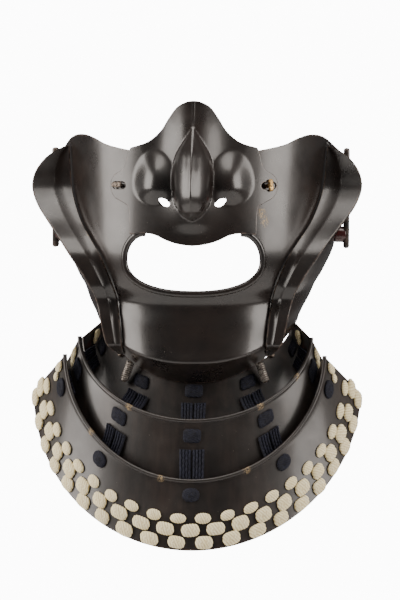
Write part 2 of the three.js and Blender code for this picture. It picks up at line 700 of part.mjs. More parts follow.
function chinPost(side) {
  const profile = [[0, 0.9], [POST.radius * 0.75, 0.9]];
  for (let i = 0; i < POST.turns; i += 1) {
    const low = 1.0 + i * POST.pitch;
    profile.push([POST.radius, low + POST.pitch * 0.3], [POST.radius, low + POST.pitch * 0.7]);
    profile.push([POST.radius * 0.78, low + POST.pitch]);
  }
  profile.push([0, 1.0 + POST.turns * POST.pitch]);
  return turned(profile, postBase(side), postAxis(side));
}

// ---------------------------------------------------------------- throat lames
// Point of a lame at an angle in degrees round it and share v of the way from bottom to top.
function lamePoint(lame, angle, v) {
  const a = THREE.MathUtils.degToRad(angle);
  const edge = ({ half, front, wrap, zc, ze }) => {
    const x = half * Math.sin(a);
    return V(x, front + wrap - Math.sqrt(wrap * wrap - x * x), ze + (zc - ze) * Math.cos(a));
  };
  const low = edge(lame.bottom);
  const high = edge(lame.top);
  const point = low.clone().lerp(high, v);
  return point;
}

function lameFrame(lame, angle, v) {
  const turn = Math.min(Math.max(angle, -LAME_TURN), LAME_TURN);
  const across = lamePoint(lame, turn + 0.5, v).sub(lamePoint(lame, turn - 0.5, v)).normalize();
  const up = lamePoint(lame, turn, v + 0.01).sub(lamePoint(lame, turn, v - 0.01)).normalize();
  const out = across.clone().cross(up).normalize();
  return { point: lamePoint(lame, angle, v), across, up: out.clone().cross(across).normalize(), out };
}

const RIM_RIVETS = [-52, -16, 16, 52];

function rimRivetPlace(angle) {
  const { point, out } = lameFrame(LAMES[0], angle, 0.94);
  return { base: point, axis: out };
}

// Wall of a lame, with its upper edge rolled forward where it shows.
function lameShell(lame, roll) {
  const section = (angle) => {
    const at = (v, depth) => {
      const { point, out } = lameFrame(lame, angle, v);
      return point.addScaledVector(out, -depth);
    };
    const height = lamePoint(lame, angle, 1).distanceTo(lamePoint(lame, angle, 0));
    const d = ROLL / height;
    const edge = roll
      ? [at(1 - 1.9 * d, 0), at(1 - 1.5 * d, -0.7 * ROLL), at(1 - 0.4 * d, -0.7 * ROLL),
        at(1, -0.1 * ROLL), at(1, LAME_WALL * 0.8), at(1 - 0.5 * d, LAME_WALL)]
      : [at(1, 0), at(1, LAME_WALL)];
    const front = [0, 1 / 3, 2 / 3].map((v) => at(v, 0));
    const back = [2 / 3, 1 / 3, 0].map((v) => at(v, LAME_WALL));
    return [...front, ...edge, ...back];
  };
  return sweep(spread(-90, 90, LAME_STEPS).map(section));
}

// Place on a lame: millimetres across and up from a point on it, standing off its front.
function onLame(index, angle, share, across, up, lift) {
  const lame = LAMES[index];
  const v = 1 - share;
  const degree = lamePoint(lame, angle + 0.5, v).distanceTo(lamePoint(lame, angle - 0.5, v));
  const height = lamePoint(lame, angle, 1).distanceTo(lamePoint(lame, angle, 0));
  const { point, out } = lameFrame(lame, angle + across / degree, v + up / height);
  return point.addScaledVector(out, lift);
}

// Share of the way down a lame at a distance below its upper edge.
function shareAt(index, angle, drop) {
  return drop / lamePoint(LAMES[index], angle, 1).distanceTo(lamePoint(LAMES[index], angle, 0));
}

const legPlace = (index, angle, share) => lameFrame(LAMES[index], angle, 1 - share);

function legCut(index, angle, share, size) {
  const { point, across, out } = legPlace(index, angle, share);
  return block(point, across, out, size + 2 * GAP, 8, size + 2 * GAP);
}

// ---------------------------------------------------------------- silk lacing
// Six-sided pad of silk on the front of a lame, following its curve.
function pad(index, angle, share, width, height, thick) {
  const ring = (scale, lift) => spread(0, 5, 5).map((k) => {
    const a = k * Math.PI / 3;
    return onLame(index, angle, share, Math.cos(a) * width * scale / 2, Math.sin(a) * height * scale / 2, lift);
  });
  return sweep([ring(1.1, SILK_GAP), ring(0.85, SILK_GAP + thick)]);
}

// Square leg of silk through a lame, from its front to a depth behind the front face.
function leg(index, angle, share, size, depth) {
  const { point, across, out } = legPlace(index, angle, share);
  const front = SILK_GAP + 0.5;
  const middle = point.clone().addScaledVector(out, (front - depth) / 2);
  return block(middle, across, out, size, depth + front, size);
}

// Flat knot of silk behind a lame.
function backKnot(index, angle, share, width, height, thick) {
  const near = -(LAME_WALL + SILK_GAP);
  return sweep([-0.5, 0, 0.5].map((k) => [
    onLame(index, angle, share, k * width, -height / 2, near),
    onLame(index, angle, share, k * width, height / 2, near),
    onLame(index, angle, share, k * width, height / 2, near - thick),
    onLame(index, angle, share, k * width, -height / 2, near - thick),
  ]));
}

// Two braids in front of one lame and behind the next, down to the leg of the next pad.
function braidPair(index, angles) {
  const start = shareAt(index, angles[index], PATCH.drop[index] + BRAID.below);
  const end = shareAt(index + 1, angles[index + 1], PATCH.drop[index + 1]);
  const behind = -(LAME_WALL + SILK_GAP);
  const place = (k, across, lift) => {
    const front = onLame(index, angles[index], lerp(start, 1, k), across, 0, SILK_GAP + lift);
    const back = onLame(index + 1, angles[index + 1], end, across, lerp(BRAID.reach, -2, k),
      behind - BRAID.thick + lift);
    return front.lerp(back, smooth(k));
  };
  return [-1, 1].map((side) => sweep(spread(0, 1, 3).map((k) => {
    const inner = side * BRAID.spacing / 2 - BRAID.width / 2;
    const outer = inner + BRAID.width;
    return [place(k, inner, 0), place(k, outer, 0), place(k, outer, BRAID.thick), place(k, inner, BRAID.thick)];
  })));
}

// Top pad of a lacing column, knotted behind the first lame.
function lacingTop({ angles }) {
  const place = [0, angles[0], shareAt(0, angles[0], PATCH.drop[0])];
  return pad(...place, PATCH.width, PATCH.height, PATCH.thick)
    .add(leg(...place, PATCH.leg, LAME_WALL + SILK_GAP + 0.5))
    .add(backKnot(...place, PATCH.leg + 2, PATCH.leg + 2, 1.0));
}

// Run of a lacing column from one lame to the next, with the pad that it ends in.
function lacingRun({ angles }, index) {
  const angle = angles[index + 1];
  const place = [index + 1, angle, shareAt(index + 1, angle, PATCH.drop[index + 1])];
  const [left, right] = braidPair(index, angles);
  return pad(...place, PATCH.width, PATCH.height, PATCH.thick)
    .add(leg(...place, PATCH.leg, LAME_WALL + SILK_GAP + BRAID.thick * 0.6))
    .add(backKnot(...place, BRAID.spacing + 3, 4, BRAID.thick * 0.9))
    .add(left)
    .add(right);
}

// Cream silk knot at the corner of a lame.
function cornerKnot(side, index) {
  const angle = side * CORNER.angles[index];
  const place = [index, angle, shareAt(index, angle, CORNER.drop[index])];
  return pad(...place, CORNER.size * 0.8, CORNER.size, CORNER.thick)
    .add(leg(...place, CORNER.leg, LAME_WALL + SILK_GAP + 0.5))
    .add(backKnot(...place, CORNER.leg + 1.6, CORNER.leg + 1.6, 1.0));
}

// Angles of evenly spaced pads along the lowest lame.
function silkAngles({ count, share, end }) {
  const v = 1 - share;
  const table = spread(-end, end, 200);
  const lengths = [0];
  for (let i = 1; i < table.length; i += 1) {
    const step = lamePoint(LAMES[2], table[i], v).distanceTo(lamePoint(LAMES[2], table[i - 1], v));
    lengths.push(lengths[i - 1] + step);
  }
  return spread(0, lengths[lengths.length - 1], count - 1).map((length) => {
    const i = Math.min(Math.max(lengths.findIndex((l) => l >= length - 1e-9), 1), table.length - 1);
    const k = (length - lengths[i - 1]) / (lengths[i] - lengths[i - 1]);
    return lerp(table[i - 1], table[i], k);
  });
}

const silkLegs = (angles) => spread(0, angles.length - 1, SILK_LEGS - 1).map((i) => angles[Math.round(i)]);

// Row of silk pads along the front of the lowest lame, tied behind it through small holes.
function silkRow(row) {
  const angles = silkAngles(row);
  const section = (angle, across, height, thick) => {
    const corner = (up, lift) => onLame(2, angle, row.share, across, up * height / 2, SILK_GAP + lift);
    return [corner(-1, 0), corner(-0.75, thick), corner(0.75, thick), corner(1, 0)];
  };
  const half = row.length / 2;
  const sections = angles.flatMap((angle) => [
    section(angle, -half, SILK_THREAD.width, SILK_THREAD.thick),
    section(angle, -half * 0.6, row.height, row.thick),
    section(angle, half * 0.6, row.height, row.thick),
    section(angle, half, SILK_THREAD.width, SILK_THREAD.thick),
  ]);
  return silkLegs(angles).reduce((body, angle) => body
    .add(leg(2, angle, row.share, SILK_LEG, LAME_WALL + SILK_GAP + 0.5)), sweep(sections));
}

// ---------------------------------------------------------------- lames with their holes
function throatLame(index) {
  const lame = LAMES[index];
  let shell = lameShell(lame, index > 0);
  for (const { angles } of COLUMNS) {
    const angle = angles[index];
    shell = shell.subtract(legCut(index, angle, shareAt(index, angle, PATCH.drop[index]), PATCH.leg));
  }
  for (const side of [-1, 1]) {
    const angle = side * CORNER.angles[index];
    shell = shell.subtract(legCut(index, angle, shareAt(index, angle, CORNER.drop[index]), CORNER.leg));
  }
  if (index === 0) {
    for (const angle of RIM_RIVETS) {
      const { base, axis } = rimRivetPlace(angle);
      shell = shell.subtract(pin(base, axis, RIVET.shank + GAP, -6, 3));
    }
    shell = shell.subtract(faceClear());
  }
  if (index === 2) {
    for (const row of SILK_ROWS) {
      for (const angle of silkLegs(silkAngles(row))) {
        shell = shell.subtract(legCut(2, angle, row.share, SILK_LEG));
      }
    }
  }
  return shell;
}

// Rivet that holds the first lame inside the rim of the face plate.
function rimRivet(angle) {
  const { base, axis } = rimRivetPlace(angle);
  return pin(base, axis, RIVET.shank, -(LAME_WALL + GAP + 0.5), 2.0)
    .add(pin(base, axis, RIVET.head, -(LAME_WALL + GAP + RIVET.head_height), -(LAME_WALL + GAP)));
}

// ---------------------------------------------------------------- assembly
const group = new THREE.Group();

function put(name, body, material) {
  const geometry = body.isBufferGeometry ? body : geometryOf(body);
  geometry.computeVertexNormals();
  const mesh = new THREE.Mesh(geometry, material);
  mesh.name = name;
  group.add(mesh);
}

put('face_plate', facePlate(), DARK_LACQUER);
put('nose_piece', nosePiece(), DARK_LACQUER);
put('nose_stud_left', noseStud(-1, 0), WORN_IRON);
put('nose_stud_right', noseStud(1, STUD_TURN_RIGHT), WORN_GILT);

const rightFlange = geometryOf(cheekFlange());
put('cheek_flange_right', rightFlange, DARK_LACQUER);
put('cheek_flange_left', mirrored(rightFlange), DARK_LACQUER);

for (const [side, name] of [[-1, 'left'], [1, 'right']]) {
  put(`cord_hook_${name}`, sideHook(side), DARK_LACQUER);
  put(`chin_post_${name}`, chinPost(side), WORN_IRON);
}

LAMES.forEach((lame, index) => put(`throat_lame_${index + 1}`, throatLame(index), LAME_LACQUER));
RIM_RIVETS.forEach((angle, index) => put(`rim_rivet_${index + 1}`, rimRivet(angle), WORN_IRON));

for (const lacing of COLUMNS) {
  put(`lacing_${lacing.name}_1`, lacingTop(lacing), NAVY_SILK);
  put(`lacing_${lacing.name}_2`, lacingRun(lacing, 0), NAVY_SILK);
  put(`lacing_${lacing.name}_3`, lacingRun(lacing, 1), NAVY_SILK);
}

for (const [side, name] of [[-1, 'left'], [1, 'right']]) {
  LAMES.forEach((lame, index) => put(`corner_lacing_${name}_${index + 1}`, cornerKnot(side, index), CREAM_SILK));
}

for (const row of SILK_ROWS) put(row.name, silkRow(row), CREAM_SILK);

export default group;
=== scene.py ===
import math
import random

import bmesh
import bpy
import numpy as np
from mathutils import Matrix, Vector
from mathutils.kdtree import KDTree


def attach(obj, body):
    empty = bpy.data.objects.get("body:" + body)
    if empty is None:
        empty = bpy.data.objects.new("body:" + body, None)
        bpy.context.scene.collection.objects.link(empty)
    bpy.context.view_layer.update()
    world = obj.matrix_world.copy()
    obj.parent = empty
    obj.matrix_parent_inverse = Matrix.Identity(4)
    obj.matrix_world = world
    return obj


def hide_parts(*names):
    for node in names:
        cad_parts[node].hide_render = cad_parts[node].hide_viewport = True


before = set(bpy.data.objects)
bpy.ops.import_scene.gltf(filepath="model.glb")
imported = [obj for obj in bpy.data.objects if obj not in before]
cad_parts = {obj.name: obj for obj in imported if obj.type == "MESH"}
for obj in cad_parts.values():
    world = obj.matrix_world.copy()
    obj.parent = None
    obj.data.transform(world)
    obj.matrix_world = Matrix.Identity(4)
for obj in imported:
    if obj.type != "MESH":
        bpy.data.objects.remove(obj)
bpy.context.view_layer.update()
MM = 0.001
random.seed(17)

# ---------------------------------------------------------------- driving values, millimetres
PLATE = 1.6
FLANGE_WALL = 1.5
LAME_WALL = 1.5
SILK_GAP = 0.45
NOSE_LIFT = 2.8
# height at the centre, height at the rear, half width, front, rear, squareness, rise
FACE = np.array([
    (-28.0, 4.0, 57.0, -70.0, -8.0, 2.2, 2.0), (-23.0, 6.0, 57.5, -76.5, -8.0, 2.3, 2.0),
    (-16.8, 8.0, 58.2, -86.0, -7.0, 2.4, 2.0), (-14.3, 9.5, 59.0, -88.5, -6.5, 2.4, 2.0),
    (-8.5, 12.5, 60.5, -87.0, -5.0, 2.4, 2.0), (4.0, 19.0, 64.0, -84.6, -1.0, 2.4, 1.6),
    (16.0, 26.0, 67.3, -82.0, 3.0, 2.3, 1.3), (27.0, 33.0, 71.5, -87.0, 6.0, 2.3, 1.0),
    (44.0, 46.0, 77.5, -89.5, 9.0, 2.3, 1.0), (64.0, 64.0, 79.5, -88.5, 11.0, 2.2, 1.0),
    (84.0, 84.0, 80.0, -85.0, 12.0, 2.2, 1.0), (104.0, 104.0, 80.0, -80.0, 12.0, 2.2, 1.0),
    (134.0, 134.0, 79.0, -71.0, 12.0, 2.2, 1.0)])
ZC, ZS, HALF, FRONT, REAR, SQUARE, RISE = range(7)
CHEEK_TOP = [(27, 101.5), (36, 102), (50, 105), (58, 108.6), (65, 110.4), (72, 108.6), (79, 102), (86, 95)]
MOUTH = {"half": 38.7, "wide_z": 41.5, "bottom": 22.4, "top_half": 27.0, "top_z": 56.5}
NOTCH_HALF = 28.5
LIP_RADIUS = 1.9
NOSE_OUTLINE = [
    (0, 49.8), (7, 50.6), (14, 52.6), (20.5, 55.6), (27, 56.6), (35, 55.8), (35.8, 70.0), (38.5, 72.8),
    (44.3, 76.2), (46.6, 82.5), (44.5, 88.0), (39.0, 92.0), (36.6, 100.0), (35.2, 103.4), (25.5, 106.6),
    (18.5, 112.4), (14.0, 119.4), (9.4, 125.6), (4.0, 128.6), (0, 129.2)]
STUD = {"x": 41.5, "z": 82.5, "post": 1.25, "length": 6.8, "width": 3.0, "height": 1.5, "slack": 0.3}
STUD_FOOT = (40.2892, -74.9291, 82.1408)
STUD_AXIS = (0.5163754, -0.8425485, 0.1531945)
SLOT = {"length": 8.0, "width": 4.0}
# height, inner edge, outer edge, lean
FLANGE = np.array([
    (-13.0, 39.6, 43.0, 0.0), (-6.0, 40.2, 48.6, 1.0), (4.0, 41.2, 51.4, 2.0), (14.0, 42.4, 53.4, 3.0),
    (23.0, 44.3, 56.4, 3.5), (33.0, 47.8, 62.0, 4.0), (43.0, 52.2, 68.4, 5.0), (52.0, 58.0, 74.6, 6.0),
    (61.0, 64.0, 81.6, 7.0), (70.5, 68.2, 88.6, 8.0), (78.5, 70.6, 92.2, 8.5), (84.5, 71.6, 92.6, 8.5),
    (91.0, 72.2, 90.4, 8.0), (97.0, 72.7, 86.0, 6.0), (101.0, 73.0, 80.6, 3.5), (103.5, 73.2, 75.5, 1.0)])
FLANGE_VALLEY = 0.7
HOOK = {"y": -2.0, "bar": 3.6, "depth": 8.0, "out": 84.5, "low": 44.0, "high": 102.0}
# foot of each stem on the cheek
HOOK_FOOT = {"low": (78.14, -1.88, 52.0), "high": (79.53, -1.84, 88.0)}
HOOK_DRUM = 4.6
HOOK_STEM = 3.4
HOOK_COLLAR = 2.8
POST_FOOT = (35.683, -61.856, -16.002)
POST_AXIS = (0.322, -0.23, -0.919)
POST = {"radius": 2.45, "length": 13.0, "wire": 0.55, "turns": 9}
# half width, front, plan radius, height at the centre, height at the ends; top and bottom edge
LAMES = [((53.5, -67.5, 55.0, -24.0, 3.5), (64.0, -83.0, 75.0, -56.0, -5.0)),
         ((65.0, -89.5, 86.0, -47.0, -3.0), (74.0, -94.5, 93.0, -87.0, -20.0)),
         ((72.5, -100.0, 97.0, -79.0, -12.5), (93.4, -109.0, 99.0, -116.0, -36.0))]
LAME_TURN = 82.0
ROLL = 1.5
RIM_RIVETS = [-52, -16, 16, 52]
RIVET = {"shank": 1.2, "head": 2.3, "dome": 0.45, "sunk": 1.85}
COLUMNS = [("centre", (0, 0, 0)), ("left", (-32, -38, -42)), ("right", (32, 37, 41)),
           ("rear_left", (-72, -76, -78)), ("rear_right", (72, 76, 78))]
PATCH = {"width": 10.0, "height": 7.6, "thick": 1.6, "drop": (9.4, 8.2, 7.6)}
BRAID = {"width": 6.6, "thick": 2.2, "spacing": 7.3, "below": 7.6, "reach": 12.0}
CORNER = {"angles": (84, 86, 87), "size": 5.6, "drop": (11.5, 7.5, 6.6), "thick": 2.0}
# node, share down the lame, count, end angle, length, height, thickness
SILK_ROWS = [("silk_row_top", 0.545, 20, 85.0, 8.4, 5.5, 1.8),
             ("silk_row_middle", 0.715, 21, 87.5, 9.9, 6.9, 2.2),
             ("silk_row_bottom", 0.895, 20, 86.0, 9.9, 6.6, 2.2)]


# ---------------------------------------------------------------- small maths
def lerp(a, b, k):
    return a + (b - a) * k


def smooth(k):
    k = np.clip(k, 0.0, 1.0)
    return k * k * (3 - 2 * k)


def unit(v):
    return v / np.maximum(np.linalg.norm(v, axis=-1, keepdims=True), 1e-12)


def column(table, c, at):
    """Smooth value of a column of a table at fractional rows."""
    values = table[:, c]
    last = len(values) - 1
    i = np.clip(np.floor(at).astype(int), 0, last - 1)
    k = at - i
    p = [values[np.clip(i + j, 0, last)] for j in (-1, 0, 1, 2)]
    bend, bend2 = 0.5 * (p[2] - p[0]), 0.5 * (p[3] - p[1])
    return ((2 * k**3 - 3 * k**2 + 1) * p[1] + (k**3 - 2 * k**2 + k) * bend
            + (3 * k**2 - 2 * k**3) * p[2] + (k**3 - k**2) * bend2)


def spline(points, steps):
    """Evenly shaped curve through points."""
    points = np.array(points, float)
    count = len(points)
    at = np.linspace(0, count - 1, steps * count)
    return np.stack([column(points, c, at) for c in range(points.shape[1])], axis=1)


# ---------------------------------------------------------------- the face surface
def face_point(s, v):
    power = 2 / column(FACE, SQUARE, v)
    angle = np.abs(s) * math.pi / 2
    side = np.sin(angle) ** power
    ahead = np.maximum(np.cos(angle), 0.0) ** power
    z = lerp(column(FACE, ZS, v), column(FACE, ZC, v), ahead ** column(FACE, RISE, v))
    x = np.sign(s) * column(FACE, HALF, v) * side
    return np.stack([x, lerp(column(FACE, REAR, v), column(FACE, FRONT, v), ahead), z], axis=-1)


def face_at(x, z):
    """Point of the face straight behind each place in the front view."""
    x, z = np.broadcast_arrays(np.asarray(x, float), np.asarray(z, float))
    low, high = np.zeros(x.shape), np.full(x.shape, len(FACE) - 1.0)
    for _ in range(26):
        v = (low + high) / 2
        side = np.minimum(np.abs(x) / column(FACE, HALF, v), 1)
        point = face_point(np.sign(x) * np.arcsin(side ** (column(FACE, SQUARE, v) / 2)) / (math.pi / 2), v)
        below = point[..., 2] < z
        low, high = np.where(below, v, low), np.where(below, high, v)
    return np.stack([x, point[..., 1], z], axis=-1)


def face_normal(x, z, d=0.5):
    across = face_at(x + d, z) - face_at(x - d, z)
    up = face_at(x, z + d) - face_at(x, z - d)
    return unit(np.cross(across, up))


# ---------------------------------------------------------------- the nose
# height, half width, how far it stands out
BULB = np.array([(63.5, 0.0, 0.0), (65.2, 3.4, 5.0), (68.7, 6.8, 10.5), (74.0, 9.6, 14.0),
                 (79.0, 10.9, 15.5), (84.5, 11.4, 15.0), (90.0, 11.3, 13.2), (95.3, 10.4, 11.0),
                 (100.5, 8.6, 8.8), (106.0, 5.4, 5.6), (111.0, 2.4, 2.4), (115.0, 0.5, 0.4), (119.0, 0.0, 0.0)])
RIDGE = np.array([(48.0, 0.0), (56.0, 1.0), (62.0, 4.0), (70.0, 6.5), (80.0, 7.0), (92.0, 7.5), (104.0, 7.5),
                  (114.0, 7.0), (122.0, 6.0), (132.0, 5.5)])
WING = {"x": 21.0, "z": 83.5, "half_x": 12.5, "above": 19.0, "below": 12.0, "height": 7.6}
BROW_DIP = {"x": 19.0, "z": 107.0, "half_x": 11.0, "half_z": 16.0, "depth": 0.7}
NOSTRIL = {"x": 15.6, "z": 73.6, "half_x": 3.4, "half_z": 1.9, "tilt": 0.45}


def table_at(table, z):
    """Values of a table's columns at heights, with the height in the first column."""
    at = np.interp(z, table[:, 0], np.arange(len(table)))
    return [column(table, c, at) for c in range(1, table.shape[1])]


def blend_max(a, b, soft):
    k = np.clip(0.5 + 0.5 * (a - b) / soft, 0, 1)
    return lerp(b, a, k) + soft * k * (1 - k)


def nose_relief(x, z):
    ax = np.abs(x)
    (ridge,) = table_at(RIDGE, z)
    base = ridge * np.exp(-((ax / 12.5) ** 2))
    half, height = table_at(BULB, z)
    half = np.maximum(half, 0.05)
    t = np.minimum(ax / half, 1)
    bulb = np.maximum(height, 0) * (1 - 0.34 * t) * (1 - t**5) ** 0.5
    keel = 0.7 * np.exp(-((ax / 1.3) ** 2)) * np.clip((z - 66) / 16, 0, 1) * np.clip((112 - z) / 12, 0, 1)
    tall = np.where(z > WING["z"], WING["above"], WING["below"])
    k = np.hypot((ax - WING["x"]) / WING["half_x"], (z - WING["z"]) / tall)
    wing = WING["height"] * np.maximum(1 - k**2, 0) ** 1.25
    d = np.hypot((ax - BROW_DIP["x"]) / BROW_DIP["half_x"], (z - BROW_DIP["z"]) / BROW_DIP["half_z"])
    dip = BROW_DIP["depth"] * np.maximum(1 - d**2, 0) ** 2
    groove = 0.7 * np.exp(-((ax / 0.9) ** 2)) * np.clip((z - 112) / 6, 0, 1)
    return blend_max(base + bulb + keel, base * 0.6 + wing, 5.0) - dip - groove


def nose_point(x, z):
    point = face_at(x, z)
    point[..., 1] -= NOSE_LIFT + nose_relief(x, z)
    return point


# ---------------------------------------------------------------- flanges and lames
def flange_point(u, v):
    z, inner, outer, lean = (column(FLANGE, c, v) for c in range(4))
    start = face_at(inner, z)[..., 1] - FLANGE_WALL - 0.9
    valley = FLANGE_VALLEY * np.minimum(1, (outer - inner) / 10) * np.sin(math.pi * np.minimum(u * 2.2, 1))
    return np.stack([lerp(inner, outer, u), start + valley - lean * u, z], axis=-1)


def lame_point(index, angle, v):
    a = np.radians(angle)
    edges = []
    for half, front, wrap, zc, ze in LAMES[index]:
        x = half * np.sin(a)
        y = front + wrap - np.sqrt(wrap * wrap - x * x)
        edges.append(np.stack(np.broadcast_arrays(x, y, ze + (zc - ze) * np.cos(a)), axis=-1))
    return lerp(edges[1], edges[0], np.asarray(v, float)[..., None])


def lame_out(index, angle, v):
    turn = np.clip(angle, -LAME_TURN, LAME_TURN)
    across = lame_point(index, turn + 0.5, v) - lame_point(index, turn - 0.5, v)
    up = lame_point(index, turn, v + 0.01) - lame_point(index, turn, v - 0.01)
    return unit(np.cross(unit(across), unit(up)))


def lame_height(index, angle):
    gap = lame_point(index, angle, np.ones_like(angle)) - lame_point(index, angle, np.zeros_like(angle))
    return np.linalg.norm(gap, axis=-1)


def on_lame(index, angle, share, across, up, lift):
    """Millimetres across and up from a place on a lame, standing off its front."""
    angle, share, across, up, lift = (np.asarray(k, float) for k in (angle, share, across, up, lift))
    v = 1 - share
    degree = np.linalg.norm(lame_point(index, angle + 0.5, v) - lame_point(index, angle - 0.5, v), axis=-1)
    at, high = angle + across / degree, v + up / lame_height(index, angle)
    return lame_point(index, at, high) + lame_out(index, at, high) * lift[..., None]


def share_at(index, angle, drop):
    return drop / float(lame_height(index, np.float64(angle)))


# ---------------------------------------------------------------- mesh helpers
def put(name, bm, material, body="root", replaces=()):
    """Turns a bmesh in millimetres into a finished object in metres."""
    bmesh.ops.scale(bm, vec=(MM, MM, MM), verts=bm.verts)
    mesh = bpy.data.meshes.new(name)
    bm.to_mesh(mesh)
    bm.free()
    thing = bpy.data.objects.new(name, mesh)
    bpy.context.scene.collection.objects.link(thing)
    for m in material if isinstance(material, (list, tuple)) else [material]:
        mesh.materials.append(m)
    mesh.polygons.foreach_set("use_smooth", [True] * len(mesh.polygons))
    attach(thing, body)
    if replaces:
        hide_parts(*replaces)
    return thing


def grid(us, vs, place):
    """Sheet of us by vs faces over the unit square, moved to place(u, v); u and v stay in layers."""
    bm = bmesh.new()
    bmesh.ops.create_grid(bm, x_segments=us, y_segments=vs, size=0.5)
    u_layer, v_layer = bm.verts.layers.float.new("u"), bm.verts.layers.float.new("v")
    verts = list(bm.verts)
    u = np.array([vert.co.x + 0.5 for vert in verts])
    v = np.array([vert.co.y + 0.5 for vert in verts])
    for vert, point, a, b in zip(verts, place(u, v), u, v):
        vert.co = point
        vert[u_layer], vert[v_layer] = a, b
    return bm


def outline_distance(px, pz, line):
    """Signed distance of places in the front view from a closed line, positive inside it."""
    line = np.array(line, float)
    a, b = line, np.roll(line, -1, axis=0)
    best, inside = np.full(px.shape, 1e9), np.zeros(px.shape, bool)
    for (ax, az), (bx, bz) in zip(a, b):
        dx, dz = bx - ax, bz - az
        t = np.clip(((px - ax) * dx + (pz - az) * dz) / (dx * dx + dz * dz + 1e-12), 0, 1)
        best = np.minimum(best, np.hypot(px - ax - t * dx, pz - az - t * dz))
        if az != bz:
            inside ^= ((az > pz) != (bz > pz)) & (px < ax + (pz - az) * dx / dz)
    return np.where(inside, best, -best)


def trim(bm, place, distance):
    """Cuts a grid sheet along the line where distance(points) is zero, and keeps the positive side.
    The nearest vertices move onto the line, so that its edge stays clean."""
    u_layer, v_layer = bm.verts.layers.float["u"], bm.verts.layers.float["v"]
    verts = list(bm.verts)
    for i, vert in enumerate(verts):
        vert.index = i
    u = np.array([vert[u_layer] for vert in verts])
    v = np.array([vert[v_layer] for vert in verts])
    d = distance(np.array([vert.co[:] for vert in verts]))
    crossing = []
    for edge in bm.edges:
        i, j = edge.verts[0].index, edge.verts[1].index
        if d[i] * d[j] < 0:
            t = d[i] / (d[i] - d[j])
            near, far = (i, j) if t < 0.5 else (j, i)
            crossing.append((min(t, 1 - t), near, far))
    moved = {}
    for t, near, far in sorted(crossing):
        if near not in moved:
            moved[near] = (lerp(u[near], u[far], t), lerp(v[near], v[far], t))
    for i, (a, b) in moved.items():
        u[i], v[i], d[i] = a, b, 0.0
    ids = np.array(sorted(moved), int)
    if len(ids):
        for i, point in zip(ids, place(u[ids], v[ids])):
            verts[i].co = point
            verts[i][u_layer], verts[i][v_layer] = u[i], v[i]
    out = {vert for vert, k in zip(verts, d) if k < 0}
    zero = {vert for vert, k in zip(verts, d) if k == 0}
    for face in list(bm.faces):
        bad = [vert for vert in face.verts if vert in out]
        if len(face.verts) == 4 and len(bad) == 1:
            beside = {e.other_vert(bad[0]) for e in face.edges if bad[0] in e.verts}
            ends = [vert for vert in face.verts if vert in zero and vert in beside]
            if len(ends) == 2:
                bmesh.utils.face_split(face, ends[0], ends[1])
    bmesh.ops.delete(bm, geom=list(out), context="VERTS")
    loose = [vert for vert in bm.verts if not vert.link_faces]
    bmesh.ops.delete(bm, geom=loose, context="VERTS")


def baked(thing, *modifiers):
    """Applies modifiers, given as (type, settings), to an object for good."""
    for kind, settings in modifiers:
        modifier = thing.modifiers.new(kind.title(), kind)
        for key, value in settings.items():
            setattr(modifier, key, value)
    bpy.context.view_layer.update()
    graph = bpy.context.evaluated_depsgraph_get()
    mesh = bpy.data.meshes.new_from_object(thing.evaluated_get(graph), depsgraph=graph)
    old = thing.data
    thing.modifiers.clear()
    thing.data = mesh
    bpy.data.meshes.remove(old)
    return thing


def walled(thing, thickness, rim=0.28, inner_slot=1):
    """Gives a sheet its wall, inside its face, and rounds the wall's edges."""
    return baked(thing, ("SOLIDIFY", {"thickness": thickness * MM, "offset": -1.0, "use_even_offset": False,
                                      "material_offset": inner_slot, "material_offset_rim": 0}),
                 ("BEVEL", {"width": rim * MM, "segments": 2, "limit_method": "ANGLE",
                            "angle_limit": math.radians(50), "use_clamp_overlap": False, "profile": 0.5}),
                 ("WEIGHTED_NORMAL", {"weight": 50}))


def boundary(bm):
    """Points along the open edges of a sheet."""
    return [((e.verts[0].co + e.verts[1].co) / 2)[:] for e in bm.edges if e.is_boundary] + \
        [v.co[:] for v in bm.verts if v.is_boundary]


def mark_near(thing, name, points, reach):
    """Writes how near each vertex is to any of the points: 1 on one, 0 beyond the reach."""
    tree = KDTree(len(points))
    for i, point in enumerate(points):
        tree.insert(Vector(point) * MM, i)
    tree.balance()
    near = [max(0.0, 1 - tree.find(vert.co)[2] / (reach * MM)) for vert in thing.data.vertices]
    layer = thing.data.attributes.new(name, "FLOAT", "POINT")
    layer.data.foreach_set("value", near)


def mark(thing, name, values):
    layer = thing.data.attributes.new(name, "FLOAT", "POINT")
    layer.data.foreach_set("value", values)


def tube(name, points, radius, material, sides=12):
    """Round bar along a line of points."""
    curve = bpy.data.curves.new(name, "CURVE")
    curve.dimensions = "3D"
    curve.bevel_depth = radius * MM
    curve.bevel_resolution = max(1, sides // 4)
    curve.use_fill_caps = True
    line = curve.splines.new("POLY")
    line.points.add(len(points) - 1)
    for knot, point in zip(line.points, points):
        knot.co = (*(Vector(point) * MM), 1)
    shape = bpy.data.objects.new(name, curve)
    bpy.context.scene.collection.objects.link(shape)
    bpy.context.view_layer.update()
    graph = bpy.context.evaluated_depsgraph_get()
    mesh = bpy.data.meshes.new_from_object(shape.evaluated_get(graph), depsgraph=graph)
    bpy.data.objects.remove(shape)
    bm = bmesh.new()
    bm.from_mesh(mesh)
    bpy.data.meshes.remove(mesh)
    bmesh.ops.remove_doubles(bm, verts=bm.verts, dist=1e-7)
    bmesh.ops.recalc_face_normals(bm, faces=bm.faces)
    bmesh.ops.scale(bm, vec=(1 / MM,) * 3, verts=bm.verts)
    return put(name, bm, material)


def joined(first, *others):
    """Adds other objects' meshes to the first one."""
    bm = bmesh.new()
    bm.from_mesh(first.data)
    for other in others:
        bm.from_mesh(other.data)
        bpy.data.objects.remove(other)
    bm.to_mesh(first.data)
    bm.free()
    return first


